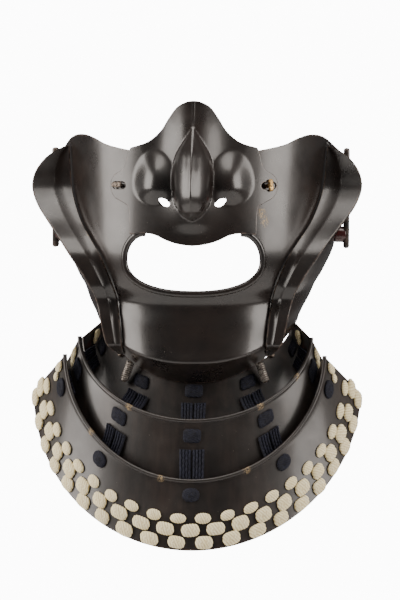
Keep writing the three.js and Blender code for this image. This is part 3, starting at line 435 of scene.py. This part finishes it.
# ---------------------------------------------------------------- materials
class Finish:
    """A material with its nodes; numbers that are even all over sit on the shader's own sockets."""

    def __init__(self, name, **sockets):
        self.material = bpy.data.materials.new(name)
        self.material.use_nodes = True
        self.tree = self.material.node_tree
        self.tree.nodes.clear()
        self.shader = self.tree.nodes.new("ShaderNodeBsdfPrincipled")
        output = self.tree.nodes.new("ShaderNodeOutputMaterial")
        self.tree.links.new(self.shader.outputs["BSDF"], output.inputs["Surface"])
        self.place = self.tree.nodes.new("ShaderNodeTexCoord").outputs["Object"]
        for socket, value in sockets.items():
            self.shader.inputs[socket.replace("_", " ")].default_value = value

    def link(self, value, socket):
        if isinstance(value, bpy.types.NodeSocket):
            self.tree.links.new(value, socket)
        else:
            socket.default_value = value

    def drive(self, name, value):
        self.link(value, self.shader.inputs[name])

    def stretched(self, x, y, z):
        node = self.tree.nodes.new("ShaderNodeMapping")
        node.inputs["Scale"].default_value = (x, y, z)
        self.tree.links.new(self.place, node.inputs["Vector"])
        return node.outputs["Vector"]

    def noise(self, scale, detail=3.0, rough=0.5, at=None, warp=0.0):
        node = self.tree.nodes.new("ShaderNodeTexNoise")
        node.inputs["Scale"].default_value = scale
        node.inputs["Detail"].default_value = detail
        node.inputs["Roughness"].default_value = rough
        node.inputs["Distortion"].default_value = warp
        self.tree.links.new(at or self.place, node.inputs["Vector"])
        return node.outputs["Fac"]

    def cells(self, scale):
        node = self.tree.nodes.new("ShaderNodeTexVoronoi")
        node.inputs["Scale"].default_value = scale
        self.tree.links.new(self.place, node.inputs["Vector"])
        return node.outputs["Distance"]

    def slant_waves(self, scale, warp):
        node = self.tree.nodes.new("ShaderNodeTexWave")
        node.bands_direction = "DIAGONAL"
        node.inputs["Scale"].default_value = scale
        node.inputs["Distortion"].default_value = warp
        self.tree.links.new(self.place, node.inputs["Vector"])
        return node.outputs["Fac"]

    def attribute(self, name):
        node = self.tree.nodes.new("ShaderNodeAttribute")
        node.attribute_name = name
        return node.outputs["Fac"]

    def ramp(self, value, low, high, start=0.0, end=1.0):
        """Straight rise from start to end as the value goes from low to high."""
        node = self.tree.nodes.new("ShaderNodeMapRange")
        node.inputs["From Min"].default_value = low
        node.inputs["From Max"].default_value = high
        node.inputs["To Min"].default_value = start
        node.inputs["To Max"].default_value = end
        self.tree.links.new(value, node.inputs["Value"])
        return node.outputs["Result"]

    def math(self, kind, a, b):
        node = self.tree.nodes.new("ShaderNodeMath")
        node.operation = kind
        self.link(a, node.inputs[0])
        self.link(b, node.inputs[1])
        return node.outputs[0]

    def mix(self, fac, a, b):
        node = self.tree.nodes.new("ShaderNodeMix")
        node.data_type = "RGBA"
        self.link(fac, node.inputs["Factor"])
        for value, socket in ((a, node.inputs[6]), (b, node.inputs[7])):
            self.link((*value, 1.0) if isinstance(value, tuple) else value, socket)
        return node.outputs[2]

    def bump(self, height, strength, distance, under=None):
        node = self.tree.nodes.new("ShaderNodeBump")
        node.inputs["Strength"].default_value = strength
        node.inputs["Distance"].default_value = distance
        self.tree.links.new(height, node.inputs["Height"])
        if under:
            self.tree.links.new(under, node.inputs["Normal"])
        return node.outputs["Normal"]


def dark_lacquer(name, deep, brown, streaks=0.0, rough=(0.24, 0.40)):
    """Old lacquer over iron: clouded brown-black, lighter at its edges for rubbed wear and a painted highlight
    line, with specks and fine scratches.
    """
    f = Finish(name, Coat_Weight=0.3, Coat_Roughness=0.16, Specular_IOR_Level=0.5)
    cloud = f.noise(28, 5, 0.6, warp=0.6)
    colour = f.mix(f.ramp(cloud, 0.3, 0.72), deep, brown)
    if streaks:
        drawn = f.noise(150, 4, 0.6, at=f.stretched(1, 1, 0.05))
        colour = f.mix(f.ramp(drawn, 0.45, 0.8, 0, streaks), colour, (0.11, 0.075, 0.06))
    # lighter brown near the edges: rubbed wear, and also a painted highlight line along the plate edges
    rub = f.math("MULTIPLY", f.ramp(f.attribute("rim"), 0.55, 0.95),
                 f.ramp(f.noise(260, 4, 0.7), 0.42, 0.62))
    colour = f.mix(f.math("MULTIPLY", rub, 0.75), colour, (0.16, 0.105, 0.075))
    spots = f.math("MULTIPLY", f.ramp(f.attribute("chip"), 0.1, 0.6),
                   f.ramp(f.noise(900, 3, 0.7), 0.46, 0.56))
    colour = f.mix(spots, colour, (0.36, 0.25, 0.12))
    dust = f.ramp(f.cells(420), 0.10, 0.05)
    rare = f.ramp(f.noise(120, 2), 0.6, 0.66)
    specks = f.math("MULTIPLY", dust, rare)
    colour = f.mix(f.math("MULTIPLY", specks, 0.5), colour, (0.26, 0.23, 0.2))
    f.drive("Base Color", colour)
    haze = f.ramp(f.noise(55, 6, 0.65), 0.3, 0.75, *rough)
    worn = f.math("ADD", haze, f.math("MULTIPLY", rub, 0.25))
    f.drive("Roughness", f.math("ADD", worn, f.math("MULTIPLY", spots, 0.3)))
    scratch = f.noise(620, 3, 0.6, at=f.stretched(1.0, 1.0, 0.09))
    hand = f.bump(f.noise(42, 2, 0.4), 0.35, 0.0009)
    grain = f.bump(scratch, 0.10, 0.00012, hand)
    f.drive("Normal", f.bump(f.noise(1500, 2), 0.06, 0.0001, grain))
    return f.material


def red_lacquer():
    f = Finish("red_lacquer_lining", Coat_Weight=0.5, Coat_Roughness=0.1)
    tone = f.ramp(f.noise(35, 5, 0.6), 0.3, 0.7)
    colour = f.mix(tone, (0.20, 0.016, 0.012), (0.33, 0.03, 0.02))
    rub = f.math("MULTIPLY", f.ramp(f.attribute("rim"), 0.4, 0.95), f.ramp(f.noise(240, 4, 0.7), 0.4, 0.6))
    f.drive("Base Color", f.mix(rub, colour, (0.05, 0.02, 0.016)))
    f.drive("Roughness", f.ramp(f.noise(70, 5), 0.3, 0.7, 0.25, 0.42))
    f.drive("Normal", f.bump(f.noise(45, 3, 0.4), 0.35, 0.0008))
    return f.material


def worn_metal(name, dark, bright, metallic, rough):
    f = Finish(name, Metallic=metallic)
    tone = f.ramp(f.noise(500, 5, 0.65), 0.35, 0.68)
    rub = f.math("MAXIMUM", tone, f.ramp(f.attribute("rim"), 0.3, 1.0))
    f.drive("Base Color", f.mix(rub, dark, bright))
    f.drive("Roughness", f.ramp(f.noise(700, 4, 0.6), 0.3, 0.7, *rough))
    f.drive("Normal", f.bump(f.noise(900, 4, 0.6), 0.5, 0.00012))
    return f.material


def silk(name, painted_shade, body, light, sheen, thread):
    """Braided silk: a painted shade colour in the grooves, between the threads and wherever the rib value is
    low, body colour on the crowns, fine threads across them.
    """
    f = Finish(name, Sheen_Weight=sheen, Sheen_Roughness=0.5, Specular_IOR_Level=0.3)
    f.shader.inputs["Sheen Tint"].default_value = (*light, 1.0)
    tone = f.ramp(f.noise(260, 4, 0.6), 0.3, 0.7)
    crown = f.mix(tone, body, light)
    strand = f.slant_waves(thread, 3.0)
    # painted shade: low rib values and the gaps between threads take the painted shade colour
    deep = f.math("MULTIPLY", f.ramp(f.attribute("rib"), 0.0, 0.75), f.ramp(strand, 0.0, 0.5, 0.75, 1.0))
    f.drive("Base Color", f.mix(deep, painted_shade, crown))
    f.drive("Roughness", f.ramp(f.noise(600, 3), 0.3, 0.7, 0.62, 0.85))
    fibre = f.bump(strand, 0.45, 0.00025)
    f.drive("Normal", f.bump(f.noise(2600, 2), 0.25, 0.0001, fibre))
    return f.material


LACQUER = dark_lacquer("dark_lacquer", (0.0055, 0.0042, 0.0038), (0.018, 0.0118, 0.0095))
LAME_LACQUER = dark_lacquer("lame_lacquer", (0.0048, 0.0036, 0.0032), (0.015, 0.0098, 0.0078), streaks=0.18,
                            rough=(0.33, 0.52))
LINING = red_lacquer()
IRON = worn_metal("worn_iron", (0.05, 0.04, 0.035), (0.26, 0.21, 0.17), 0.7, (0.4, 0.65))
WIRE = worn_metal("wire", (0.12, 0.105, 0.095), (0.42, 0.38, 0.34), 0.75, (0.35, 0.6))
GILT = worn_metal("worn_gilt", (0.10, 0.06, 0.03), (0.62, 0.40, 0.16), 0.8, (0.35, 0.6))
DRUM_RED = dark_lacquer("drum_red", (0.03, 0.006, 0.006), (0.08, 0.012, 0.011))
NAVY = silk("navy_silk", (0.001, 0.001, 0.003), (0.004, 0.0045, 0.011), (0.012, 0.014, 0.030), 0.12, 900)
CREAM = silk("cream_silk", (0.62, 0.48, 0.24), (0.90, 0.81, 0.50), (0.96, 0.90, 0.66), 0.1, 700)

# ---------------------------------------------------------------- face plate
def mouth_line():
    """Right half of the line round the mouth, from the bottom middle out and up to its top corner."""
    right = []
    for k in np.linspace(0, 1, 26):
        a = k * math.pi / 2
        right.append((MOUTH["half"] * math.sin(a) ** 0.86,
                      MOUTH["wide_z"] - (MOUTH["wide_z"] - MOUTH["bottom"]) * max(math.cos(a), 0) ** 0.86))
    for k in np.linspace(0, 1, 12)[1:]:
        a = k * math.pi / 2
        right.append((lerp(MOUTH["top_half"], MOUTH["half"], math.cos(a)),
                      lerp(MOUTH["wide_z"], MOUTH["top_z"], math.sin(a))))
    return right


def face_edges():
    right = mouth_line() + [(NOTCH_HALF, MOUTH["top_z"] + 3), (NOTCH_HALF, 170)]
    mouth = right + [(-x, z) for x, z in reversed(right[1:])]
    top = spline(CHEEK_TOP, 6).tolist()
    above = [(18, 190), (18, 101.3)] + top + [(120, 80), (120, 190)]
    return mouth, [[(side * x, z) for x, z in above] for side in (-1, 1)]


def make_face_plate():
    mouth, cheeks = face_edges()
    top = len(FACE) - 1.5

    def place(u, v):
        return face_point(2 * u - 1, v * top)

    def distance(points):
        x, z = points[:, 0], points[:, 2]
        d = -outline_distance(x, z, mouth)
        for cheek in cheeks:
            d = np.minimum(d, -outline_distance(x, z, cheek))
        return d

    bm = grid(210, 150, place)
    trim(bm, place, distance)
    rim = boundary(bm)
    plate = walled(put("face_plate_lacquered", bm, [LACQUER, LINING]), PLATE)
    half = mouth_line()
    line = [(-x, z) for x, z in reversed(half[1:])] + half
    at = np.array(line)
    points = face_at(at[:, 0], at[:, 1]) + face_normal(at[:, 0], at[:, 1]) * (0.1 - PLATE / 2)
    lip = tube("mouth_lip", points, LIP_RADIUS, LACQUER)
    joined(plate, lip)
    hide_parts("face_plate")
    mark_near(plate, "rim", rim, 2.2)
    chips = [face_at(x, z) for x, z in ((38.5, 65.5), (39.3, 62.5), (37.6, 68.0))]
    mark_near(plate, "chip", [p.tolist() for p in chips], 3.4)
    return plate


def make_nose():
    stretches = NOSE_OUTLINE[:6], NOSE_OUTLINE[5:14], NOSE_OUTLINE[13:]
    outline = [point for stretch in stretches for point in spline(stretch, 8).tolist()]
    line = outline + [(-x, z) for x, z in reversed(outline[1:-1])]

    def place(u, v):
        return nose_point(lerp(-49.0, 49.0, u), lerp(48.0, 131.0, v))

    def distance(points):
        x, z = points[:, 0], points[:, 2]
        d = outline_distance(x, z, line)
        for side in (-1, 1):
            tilt = NOSTRIL["tilt"] * side
            dx, dz = x - side * NOSTRIL["x"], z - NOSTRIL["z"]
            a = dx * math.cos(tilt) + dz * math.sin(tilt)
            b = dz * math.cos(tilt) - dx * math.sin(tilt)
            hole = (np.hypot(a / NOSTRIL["half_x"], b / NOSTRIL["half_z"]) - 1) * NOSTRIL["half_z"]
            d = np.minimum(d, hole)
            dx, dz = np.abs(x - side * STUD["x"]), np.abs(z - STUD["z"])
            slot = np.hypot(np.maximum(dx - (SLOT["length"] - SLOT["width"]) / 2, 0), dz) - SLOT["width"] / 2
            d = np.minimum(d, slot)
        return d

    bm = grid(150, 126, place)
    trim(bm, place, distance)
    rim = boundary(bm)
    nose = walled(put("nose_piece_lacquered", bm, [LACQUER, LINING]), PLATE)
    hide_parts("nose_piece")
    mark_near(nose, "rim", rim, 1.6)
    mark_near(nose, "chip", [(35.5, -84.0, 101.5)], 2.0)
    return nose


def make_flange(side):
    def place(u, v):
        point = flange_point(u if side > 0 else 1 - u, v * (len(FLANGE) - 1.0))
        point[..., 0] *= side
        return point

    bm = grid(36, 150, place)
    rim = boundary(bm)
    word = "right" if side > 0 else "left"
    flange = walled(put(f"cheek_flange_{word}_lacquered", bm, LACQUER), FLANGE_WALL, rim=0.4, inner_slot=0)
    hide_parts(f"cheek_flange_{word}")
    # the rim value paints rubbed wear and also a highlight line along the flange's edges
    mark_near(flange, "rim", rim, 1.8)
    mark_near(flange, "chip", [(side * 63.0, -62.0, 60.0), (side * 59.5, -64.0, 56.0)], 3.0)
    return flange


# ---------------------------------------------------------------- hooks, posts and studs
def rounded_bar(centre, size, radius):
    bm = bmesh.new()
    bmesh.ops.create_cube(bm, size=1.0)
    bmesh.ops.scale(bm, vec=size, verts=bm.verts)
    bmesh.ops.bevel(bm, geom=bm.edges[:], offset=radius, segments=3, profile=0.5, affect="EDGES", material=-1)
    bmesh.ops.translate(bm, vec=centre, verts=bm.verts)
    return bm


def stand(bm, base, axis):
    """Turns a piece from the Z axis to an axis, and moves it to its base."""
    turn = Vector((0, 0, 1)).rotation_difference(Vector(axis)).to_matrix()
    bmesh.ops.rotate(bm, matrix=turn, verts=bm.verts)
    bmesh.ops.translate(bm, vec=base, verts=bm.verts)


def disc(base, axis, radius, low, high, bevel, sides=28):
    """Round piece along an axis with eased edges."""
    bm = bmesh.new()
    bmesh.ops.create_cone(bm, cap_ends=True, segments=sides, radius1=radius, radius2=radius, depth=high - low)
    rims = [e for e in bm.edges if abs(e.verts[0].co.z - e.verts[1].co.z) < 1e-6]
    bmesh.ops.bevel(bm, geom=rims, offset=bevel, segments=2, profile=0.5, affect="EDGES", material=-1)
    bmesh.ops.translate(bm, vec=(0, 0, (low + high) / 2), verts=bm.verts)
    stand(bm, base, axis)
    return bm


def add(bm, other):
    mesh = bpy.data.meshes.new("scratch")
    other.to_mesh(mesh)
    other.free()
    bm.from_mesh(mesh)
    bpy.data.meshes.remove(mesh)
    return bm


def make_hook(side):
    word = "right" if side > 0 else "left"
    middle = (HOOK["low"] + HOOK["high"]) / 2
    size = (HOOK["bar"], HOOK["depth"], HOOK["high"] - HOOK["low"])
    stems = {}
    for level, radius, ease in (("high", HOOK_STEM, 0.3), ("low", HOOK_DRUM, 0.6)):
        x, y, z = HOOK_FOOT[level]
        foot, axis = (side * x, y, z), (side, 0, 0)
        stems[level] = disc(foot, axis, radius, -0.4, HOOK["out"] - x, ease)
        add(stems[level], disc(foot, axis, HOOK_COLLAR, -3.4, -2.4, 0.3))
    bm = add(rounded_bar((side * HOOK["out"], HOOK["y"], middle), size, 1.5), stems["high"])
    bar = put(f"cord_hook_{word}_lacquered", bm, LACQUER)
    half = HOOK["depth"] / 2
    ends = [(side * HOOK["out"], HOOK["y"] + dy, HOOK[end]) for dy in (-half, half) for end in ("low", "high")]
    mark_near(bar, "rim", ends, 6.0)
    mark_near(bar, "chip", [(side * 86, -5, 97.0)], 2.5)
    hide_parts(f"cord_hook_{word}")
    put(f"hook_drum_{word}", stems["low"], DRUM_RED)


def make_post(side):
    """Chin post: an iron core wound with wire, from the plate down behind the chin."""
    word = "right" if side > 0 else "left"
    base = Vector((side * POST_FOOT[0], POST_FOOT[1], POST_FOOT[2]))
    axis = Vector((side * POST_AXIS[0], POST_AXIS[1], POST_AXIS[2])).normalized()
    a = axis.orthogonal().normalized()
    b = axis.cross(a)
    core = put(f"chin_post_{word}_core", disc(base, axis, 1.35, 0.9, POST["length"], 0.4), IRON)
    mark_near(core, "rim", [tuple(base + axis * POST["length"])], 2.0)
    steps = POST["turns"] * 18
    points = []
    for i in range(steps + 1):
        turn = 2 * math.pi * POST["turns"] * i / steps
        along = lerp(1.5, POST["length"] - 0.9, i / steps)
        outwards = a * math.cos(turn) + b * math.sin(turn)
        points.append(base + axis * along + outwards * (POST["radius"] - POST["wire"]))
    wire = tube(f"chin_post_{word}_wire", points, POST["wire"], WIRE, sides=8)
    mark(wire, "rim", [0.0] * len(wire.data.vertices))
    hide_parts(f"chin_post_{word}")


def make_stud(side, turn, metal, body):
    """Turning stud: its post through the cheek and a waisted bar across the tab."""
    word = "right" if side > 0 else "left"
    tab = nose_point(np.array(side * STUD["x"]), np.array(STUD["z"]))
    base = Vector((side * STUD_FOOT[0], *STUD_FOOT[1:]))
    axis = Vector((side * STUD_AXIS[0], *STUD_AXIS[1:])).normalized()
    reach = (Vector(tab) - base).dot(axis)
    level = Vector((0, 0, 1)).cross(axis).normalized()
    bm = rounded_bar((0, 0, 0), (STUD["length"], STUD["width"], STUD["height"]), 0.6)
    long_edges = [e for e in bm.edges if abs(e.verts[0].co.x - e.verts[1].co.x) > 2]
    bmesh.ops.subdivide_edges(bm, edges=long_edges, cuts=6)
    for vert in bm.verts:
        x = vert.co.x / (STUD["length"] / 2)
        vert.co.y *= math.sqrt(max(0.25, 1 - 0.75 * x**4))
        vert.co.z *= 1.0 - 0.18 * math.cos(x * math.pi) * (vert.co.z > 0)
    from_bar = level * math.cos(turn) + axis.cross(level) * math.sin(turn)
    height = reach + STUD["slack"] + STUD["height"] / 2
    for vert in bm.verts:
        x, y, z = vert.co
        vert.co = base + from_bar * x + axis.cross(from_bar) * y + axis * (z + height)
    add(bm, disc(base, axis, STUD["post"], -2.6, reach + STUD["slack"] + 0.5, 0.15, 20))
    add(bm, disc(base, axis, STUD["post"] * 1.7, -3.2, -2.2, 0.3, 24))
    add(bm, disc(base, axis, 1.05, reach + STUD["slack"] + 1.0, reach + STUD["slack"] + 1.75, 0.3, 20))
    stud = put(f"stud_{word}_detailed", bm, metal, body=body, replaces=(f"nose_stud_{word}",))
    mark_near(stud, "rim", [tuple(base + axis * (height + 0.7) + from_bar * k) for k in (-2.4, 0, 2.4)], 1.6)
    return stud


# ---------------------------------------------------------------- throat lames
def make_lame(index):
    name = f"throat_lame_{index + 1}"

    def place(u, v):
        angle = lerp(-90.0, 90.0, u)
        point = lame_point(index, angle, v)
        if index:
            rise = ROLL * 0.35 * np.clip((v - 0.93) / 0.07, 0, 1) ** 2
            point = point + lame_out(index, angle, v) * rise[..., None]
        return point

    bm = grid(200, 26, place)
    rim = boundary(bm)
    lame = walled(put(f"{name}_lacquered", bm, LAME_LACQUER), LAME_WALL, rim=0.35, inner_slot=0)
    if index:
        angles = np.linspace(-90.0, 90.0, 150)
        top = np.full_like(angles, 1.0)
        line = lame_point(index, angles, top) + lame_out(index, angles, top) * 0.15
        joined(lame, tube(f"{name}_roll", line, ROLL * 0.82, LAME_LACQUER))
    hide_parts(name)
    mark_near(lame, "rim", rim, 2.0)
    spots = {0: [0], 1: [-34, 33, 62], 2: [-52, -14, 24]}[index]
    at = [lame_point(index, np.float64(a + random.uniform(-2, 2)), np.float64(1.0)).tolist() for a in spots]
    mark_near(lame, "chip", at, 3.0)
    return lame


def make_rim_rivets():
    for i, angle in enumerate(RIM_RIVETS):
        a, v = np.float64(angle), np.float64(0.94)
        base, axis = lame_point(0, a, v), lame_out(0, a, v)
        bm = disc(tuple(base), tuple(axis), RIVET["shank"], -2.3, 1.9, 0.1, 20)
        head = bmesh.new()
        bmesh.ops.create_uvsphere(head, u_segments=24, v_segments=12, radius=RIVET["head"])
        everything = head.verts[:] + head.edges[:] + head.faces[:]
        bmesh.ops.bisect_plane(head, geom=everything, plane_co=(0, 0, 0), plane_no=(0, 0, 1),
                               clear_outer=True)
        bmesh.ops.holes_fill(head, edges=[e for e in head.edges if e.is_boundary], sides=0)
        bmesh.ops.scale(head, vec=(1, 1, RIVET["dome"]), verts=head.verts)
        stand(head, Vector(base) - Vector(axis) * RIVET["sunk"], axis)
        bmesh.ops.recalc_face_normals(head, faces=head.faces)
        add(bm, head)
        name = f"rim_rivet_{i + 1}"
        rivet = put(f"{name}_domed", bm, IRON, replaces=(name,))
        mark(rivet, "rim", [0.3] * len(rivet.data.vertices))


# ---------------------------------------------------------------- silk
def silk_knot(index, angle, share, length, height, thick, ribs, slant, square=2.6, turn=0.0):
    """Plump pad of laid silk on a lame: ribs run slantwise over it. Gives its mesh and its painted shade
    values, low in the grooves and on the underside.
    """
    bm = bmesh.new()
    bmesh.ops.create_uvsphere(bm, u_segments=40, v_segments=16, radius=1.0)
    co = np.array([vert.co[:] for vert in bm.verts])
    flat = np.hypot(co[:, 0], co[:, 1])
    about = np.arctan2(co[:, 1], co[:, 0])
    stretch = (np.abs(np.cos(about)) ** square + np.abs(np.sin(about)) ** square) ** (-1 / square)
    x, y = flat * stretch * np.cos(about), flat * stretch * np.sin(about)
    crown = np.sign(co[:, 2]) * np.abs(co[:, 2]) ** 0.75
    phase = (x * math.cos(slant) * length + y * math.sin(slant) * height) * math.pi * ribs / length
    rib = 0.5 + 0.5 * np.cos(phase)
    lift = np.where(co[:, 2] > 0, thick * crown * (0.80 + 0.20 * rib), 0.25 * crown)
    grow = 1 + 0.05 * (rib - 0.5)
    across, up = x * length / 2 * grow, y * height / 2 * grow
    c, s = math.cos(turn), math.sin(turn)
    places = on_lame(index, angle, share, across * c - up * s, across * s + up * c, SILK_GAP + lift)
    for vert, point in zip(bm.verts, places):
        vert.co = point
    # painted shade: the value drops in the grooves and on the pad's underside, and the silk colour darkens with
    # it
    return bm, rib * np.clip(co[:, 2] * 3 + 0.4, 0, 1)


def gather(pieces):
    """One bmesh and one list of painted shade values from several."""
    whole, ribs = bmesh.new(), []
    for bm, rib in pieces:
        add(whole, bm)
        ribs.extend(rib)
    return whole, ribs


def silk_angles(share, count, end):
    table = np.linspace(-end, end, 201)
    points = lame_point(2, table, np.full_like(table, 1 - share))
    lengths = np.concatenate([[0], np.cumsum(np.linalg.norm(np.diff(points, axis=0), axis=1))])
    return np.interp(np.linspace(0, lengths[-1], count), lengths, table)


def back_stitch(index, angle, share, width, height):
    bm = rounded_bar((0, 0, 0), (width, height, 1.0), 0.4)
    x, y, z = np.array([vert.co[:] for vert in bm.verts]).T
    points = on_lame(index, angle, share, x, y, z - (LAME_WALL + SILK_GAP + 0.5))
    for vert, point in zip(bm.verts, points):
        vert.co = point
    bmesh.ops.recalc_face_normals(bm, faces=bm.faces)
    # painted shade: the stitch behind the lame is partly darkened
    return bm, [0.7] * len(bm.verts)


def make_silk_row(name, share, count, end, length, height, thick):
    angles = silk_angles(share, count, end)
    square = 2.2 if "top" in name else 3.0
    pieces = []
    for angle in angles:
        wide = length * random.uniform(0.93, 1.05)
        tall = height * random.uniform(0.98, 1.16)
        off = share + random.uniform(-0.008, 0.008)
        high = thick * random.uniform(0.95, 1.1)
        slant = random.uniform(0.35, 0.75)
        turn = random.uniform(-0.09, 0.09)
        pieces.append(silk_knot(2, angle, off, wide, tall, high, 7, slant, square, turn))
        pieces.append(back_stitch(2, angle, share, length * 0.55, 2.6))
    bm, ribs = gather(pieces)
    row = put(f"{name}_laid", bm, CREAM, replaces=(name,))
    # the rib attribute carries the painted shade of the silk
    mark(row, "rib", ribs)


def make_corner(side, index):
    word = "right" if side > 0 else "left"
    angle = side * CORNER["angles"][index]
    share = share_at(index, angle, CORNER["drop"][index])
    size = CORNER["size"]
    pieces = [silk_knot(index, angle, share, size * 0.95, size * 1.1, CORNER["thick"],
                        5, 0.8, turn=0.2 * side),
              silk_knot(index, angle - side * 2.6, share + 0.10, size * 0.8, size * 0.8,
                        CORNER["thick"] * 0.8, 4, 0.2),
              back_stitch(index, angle, share, 3.2, 3.2)]
    bm, ribs = gather(pieces)
    name = f"corner_lacing_{word}_{index + 1}"
    knot = put(f"{name}_laid", bm, CREAM, replaces=(name,))
    # the rib attribute carries the painted shade of the silk
    mark(knot, "rib", ribs)


def braid_strip(index, angles, side):
    """Flat ribbed braid in front of one lame and behind the next."""
    start = share_at(index, angles[index], PATCH["drop"][index] + BRAID["below"])
    end = share_at(index + 1, angles[index + 1], PATCH["drop"][index + 1])
    behind = -(LAME_WALL + SILK_GAP)
    cords = 4
    bm = bmesh.new()
    bmesh.ops.create_grid(bm, x_segments=cords * 10, y_segments=60, size=0.5)
    bmesh.ops.solidify(bm, geom=bm.faces[:], thickness=0.1)
    co = np.array([vert.co[:] for vert in bm.verts])
    front = co[:, 2] > (co[:, 2].min() + co[:, 2].max()) / 2
    across = np.clip(co[:, 0], -0.5, 0.5)
    along = 0.5 - np.clip(co[:, 1], -0.5, 0.5)
    round_cord = np.abs(np.sin((across + 0.5) * math.pi * cords)) ** 0.6
    shifted = np.where(np.floor((across + 0.5) * cords) % 2, 0, math.pi)
    plait = 0.5 + 0.5 * np.sin(along * math.pi * 22 + shifted)
    edge = 1 - np.abs(across * 2) ** 6
    crown = 0.42 + (0.40 * round_cord + 0.13 * plait * round_cord) * edge
    height = np.where(front, BRAID["thick"] * crown, 0.1)
    x = side * BRAID["spacing"] / 2 + across * BRAID["width"] * (1 + 0.02 * np.sin(along * 30))
    upper = on_lame(index, angles[index], lerp(start, 1.0, along), x, 0, SILK_GAP + height)
    lower = on_lame(index + 1, angles[index + 1], end, x, lerp(BRAID["reach"], -2.0, along),
                    behind - BRAID["thick"] + height)
    blend = smooth(along)[:, None]
    for vert, point in zip(bm.verts, upper * (1 - blend) + lower * blend):
        vert.co = point
    bmesh.ops.recalc_face_normals(bm, faces=bm.faces)
    # painted shade: darker between the cords and in the plait, and darkest on the braid's back
    return bm, np.where(front, round_cord * (0.55 + 0.45 * plait), 0.3)


def make_lacing(name, angles):
    for index in range(3):
        share = share_at(index, angles[index], PATCH["drop"][index])
        wide, tall, square = (1.0, 1.0, 4.5) if index < 2 else (0.95, 1.02, 2.3)
        turn = random.uniform(-0.06, 0.06)
        pieces = [silk_knot(index, angles[index], share, PATCH["width"] * wide, PATCH["height"] * tall,
                            PATCH["thick"], 9, 1.2, square, turn)]
        if index:
            pieces += [braid_strip(index - 1, angles, side) for side in (-1, 1)]
            pieces.append(back_stitch(index, angles[index], share, BRAID["spacing"] + 4, 4.0))
        else:
            pieces.append(back_stitch(index, angles[index], share, 4.0, 4.0))
        bm, ribs = gather(pieces)
        node = f"lacing_{name}_{index + 1}"
        lace = put(f"{node}_braided", bm, NAVY, replaces=(node,))
        # the rib attribute carries the painted shade of the silk
        mark(lace, "rib", ribs)


# ---------------------------------------------------------------- the object
make_face_plate()
make_nose()
make_stud(-1, 0.0, IRON, "stud_left")
make_stud(1, math.pi / 2, GILT, "stud_right")
for side in (-1, 1):
    make_flange(side)
    make_hook(side)
    make_post(side)
for index in range(3):
    make_lame(index)
make_rim_rivets()
for column_name, column_angles in COLUMNS:
    make_lacing(column_name, column_angles)
for side in (-1, 1):
    for index in range(3):
        make_corner(side, index)
for row in SILK_ROWS:
    make_silk_row(*row)


# ---------------------------------------------------------------- studio
WORLD_LIGHT = 0.12
WORLD_SEEN = 12.0
LIGHT_COLOUR = (1.0, 0.94, 0.88)
# degrees, then metres
CAMERA = {"azimuth": 3.0, "elevation": 5.0, "roll": 0.1, "distance": 1.5, "view": 0.339}


def paper():
    f = Finish("studio_paper", Roughness=0.9)
    f.drive("Base Color", f.mix(f.noise(3), (0.86, 0.86, 0.86), (0.9, 0.9, 0.9)))
    return f.material


def make_floor():
    """Plain pale floor under the guard."""
    bm = bmesh.new()
    bmesh.ops.create_grid(bm, x_segments=4, y_segments=4, size=0.8)
    bmesh.ops.translate(bm, vec=(0, 0, -0.33), verts=bm.verts)
    mesh = bpy.data.meshes.new("studio_floor")
    bm.to_mesh(mesh)
    bm.free()
    mesh.materials.append(paper())
    floor = bpy.data.objects.new("studio_floor", mesh)
    bpy.context.scene.collection.objects.link(floor)


def softbox(name, place, aim, size, power):
    light = bpy.data.lights.new(name, "AREA")
    light.shape = "RECTANGLE"
    light.size, light.size_y = size
    light.energy = power
    light.color = LIGHT_COLOUR
    thing = bpy.data.objects.new(name, light)
    thing.location = place
    thing.rotation_euler = (Vector(aim) - Vector(place)).to_track_quat("-Z", "Y").to_euler()
    bpy.context.scene.collection.objects.link(thing)


def make_lights():
    """Soft lights, under a surround that lights weakly and is seen as white."""
    world = bpy.data.worlds.new("studio")
    world.use_nodes = True
    tree = world.node_tree
    seen = tree.nodes.new("ShaderNodeLightPath").outputs["Is Camera Ray"]
    strength = tree.nodes.new("ShaderNodeMapRange")
    strength.inputs["To Min"].default_value = WORLD_LIGHT
    strength.inputs["To Max"].default_value = WORLD_SEEN
    tree.links.new(seen, strength.inputs["Value"])
    tree.links.new(strength.outputs["Result"], tree.nodes["Background"].inputs["Strength"])
    tree.nodes["Background"].inputs["Color"].default_value = (1.0, 1.0, 1.0, 1)
    bpy.context.scene.world = world
    softbox("softbox_left", (-1.35, -0.45, 0.45), (0, -0.05, 0.02), (0.9, 1.3), 34)
    softbox("softbox_right", (1.35, -0.5, 0.5), (0, -0.05, 0.02), (0.8, 1.2), 25)
    softbox("softbox_top", (0.0, -0.3, 1.5), (0, -0.05, 0.0), (1.2, 0.8), 20)


def make_camera():
    """Camera a little to the right of the face and a little above it."""
    azimuth, elevation, roll = (math.radians(CAMERA[key]) for key in ("azimuth", "elevation", "roll"))
    level = math.cos(elevation)
    away = Vector((math.sin(azimuth) * level, -math.cos(azimuth) * level, math.sin(elevation)))
    camera = bpy.data.cameras.new("camera")
    camera.sensor_width = camera.sensor_height = 36.0
    camera.lens = camera.sensor_width * CAMERA["distance"] / CAMERA["view"]
    camera.shift_x, camera.shift_y = 0.0065, 0.05
    thing = bpy.data.objects.new("camera", camera)
    thing.location = Vector((0.0, -0.05, 0.0)) + away * CAMERA["distance"]
    aim = (-away).to_track_quat("-Z", "Y").to_matrix()
    thing.rotation_euler = (aim @ Matrix.Rotation(roll, 3, "Z")).to_euler()
    bpy.context.scene.collection.objects.link(thing)
    bpy.context.scene.camera = thing


make_floor()
make_lights()
make_camera()
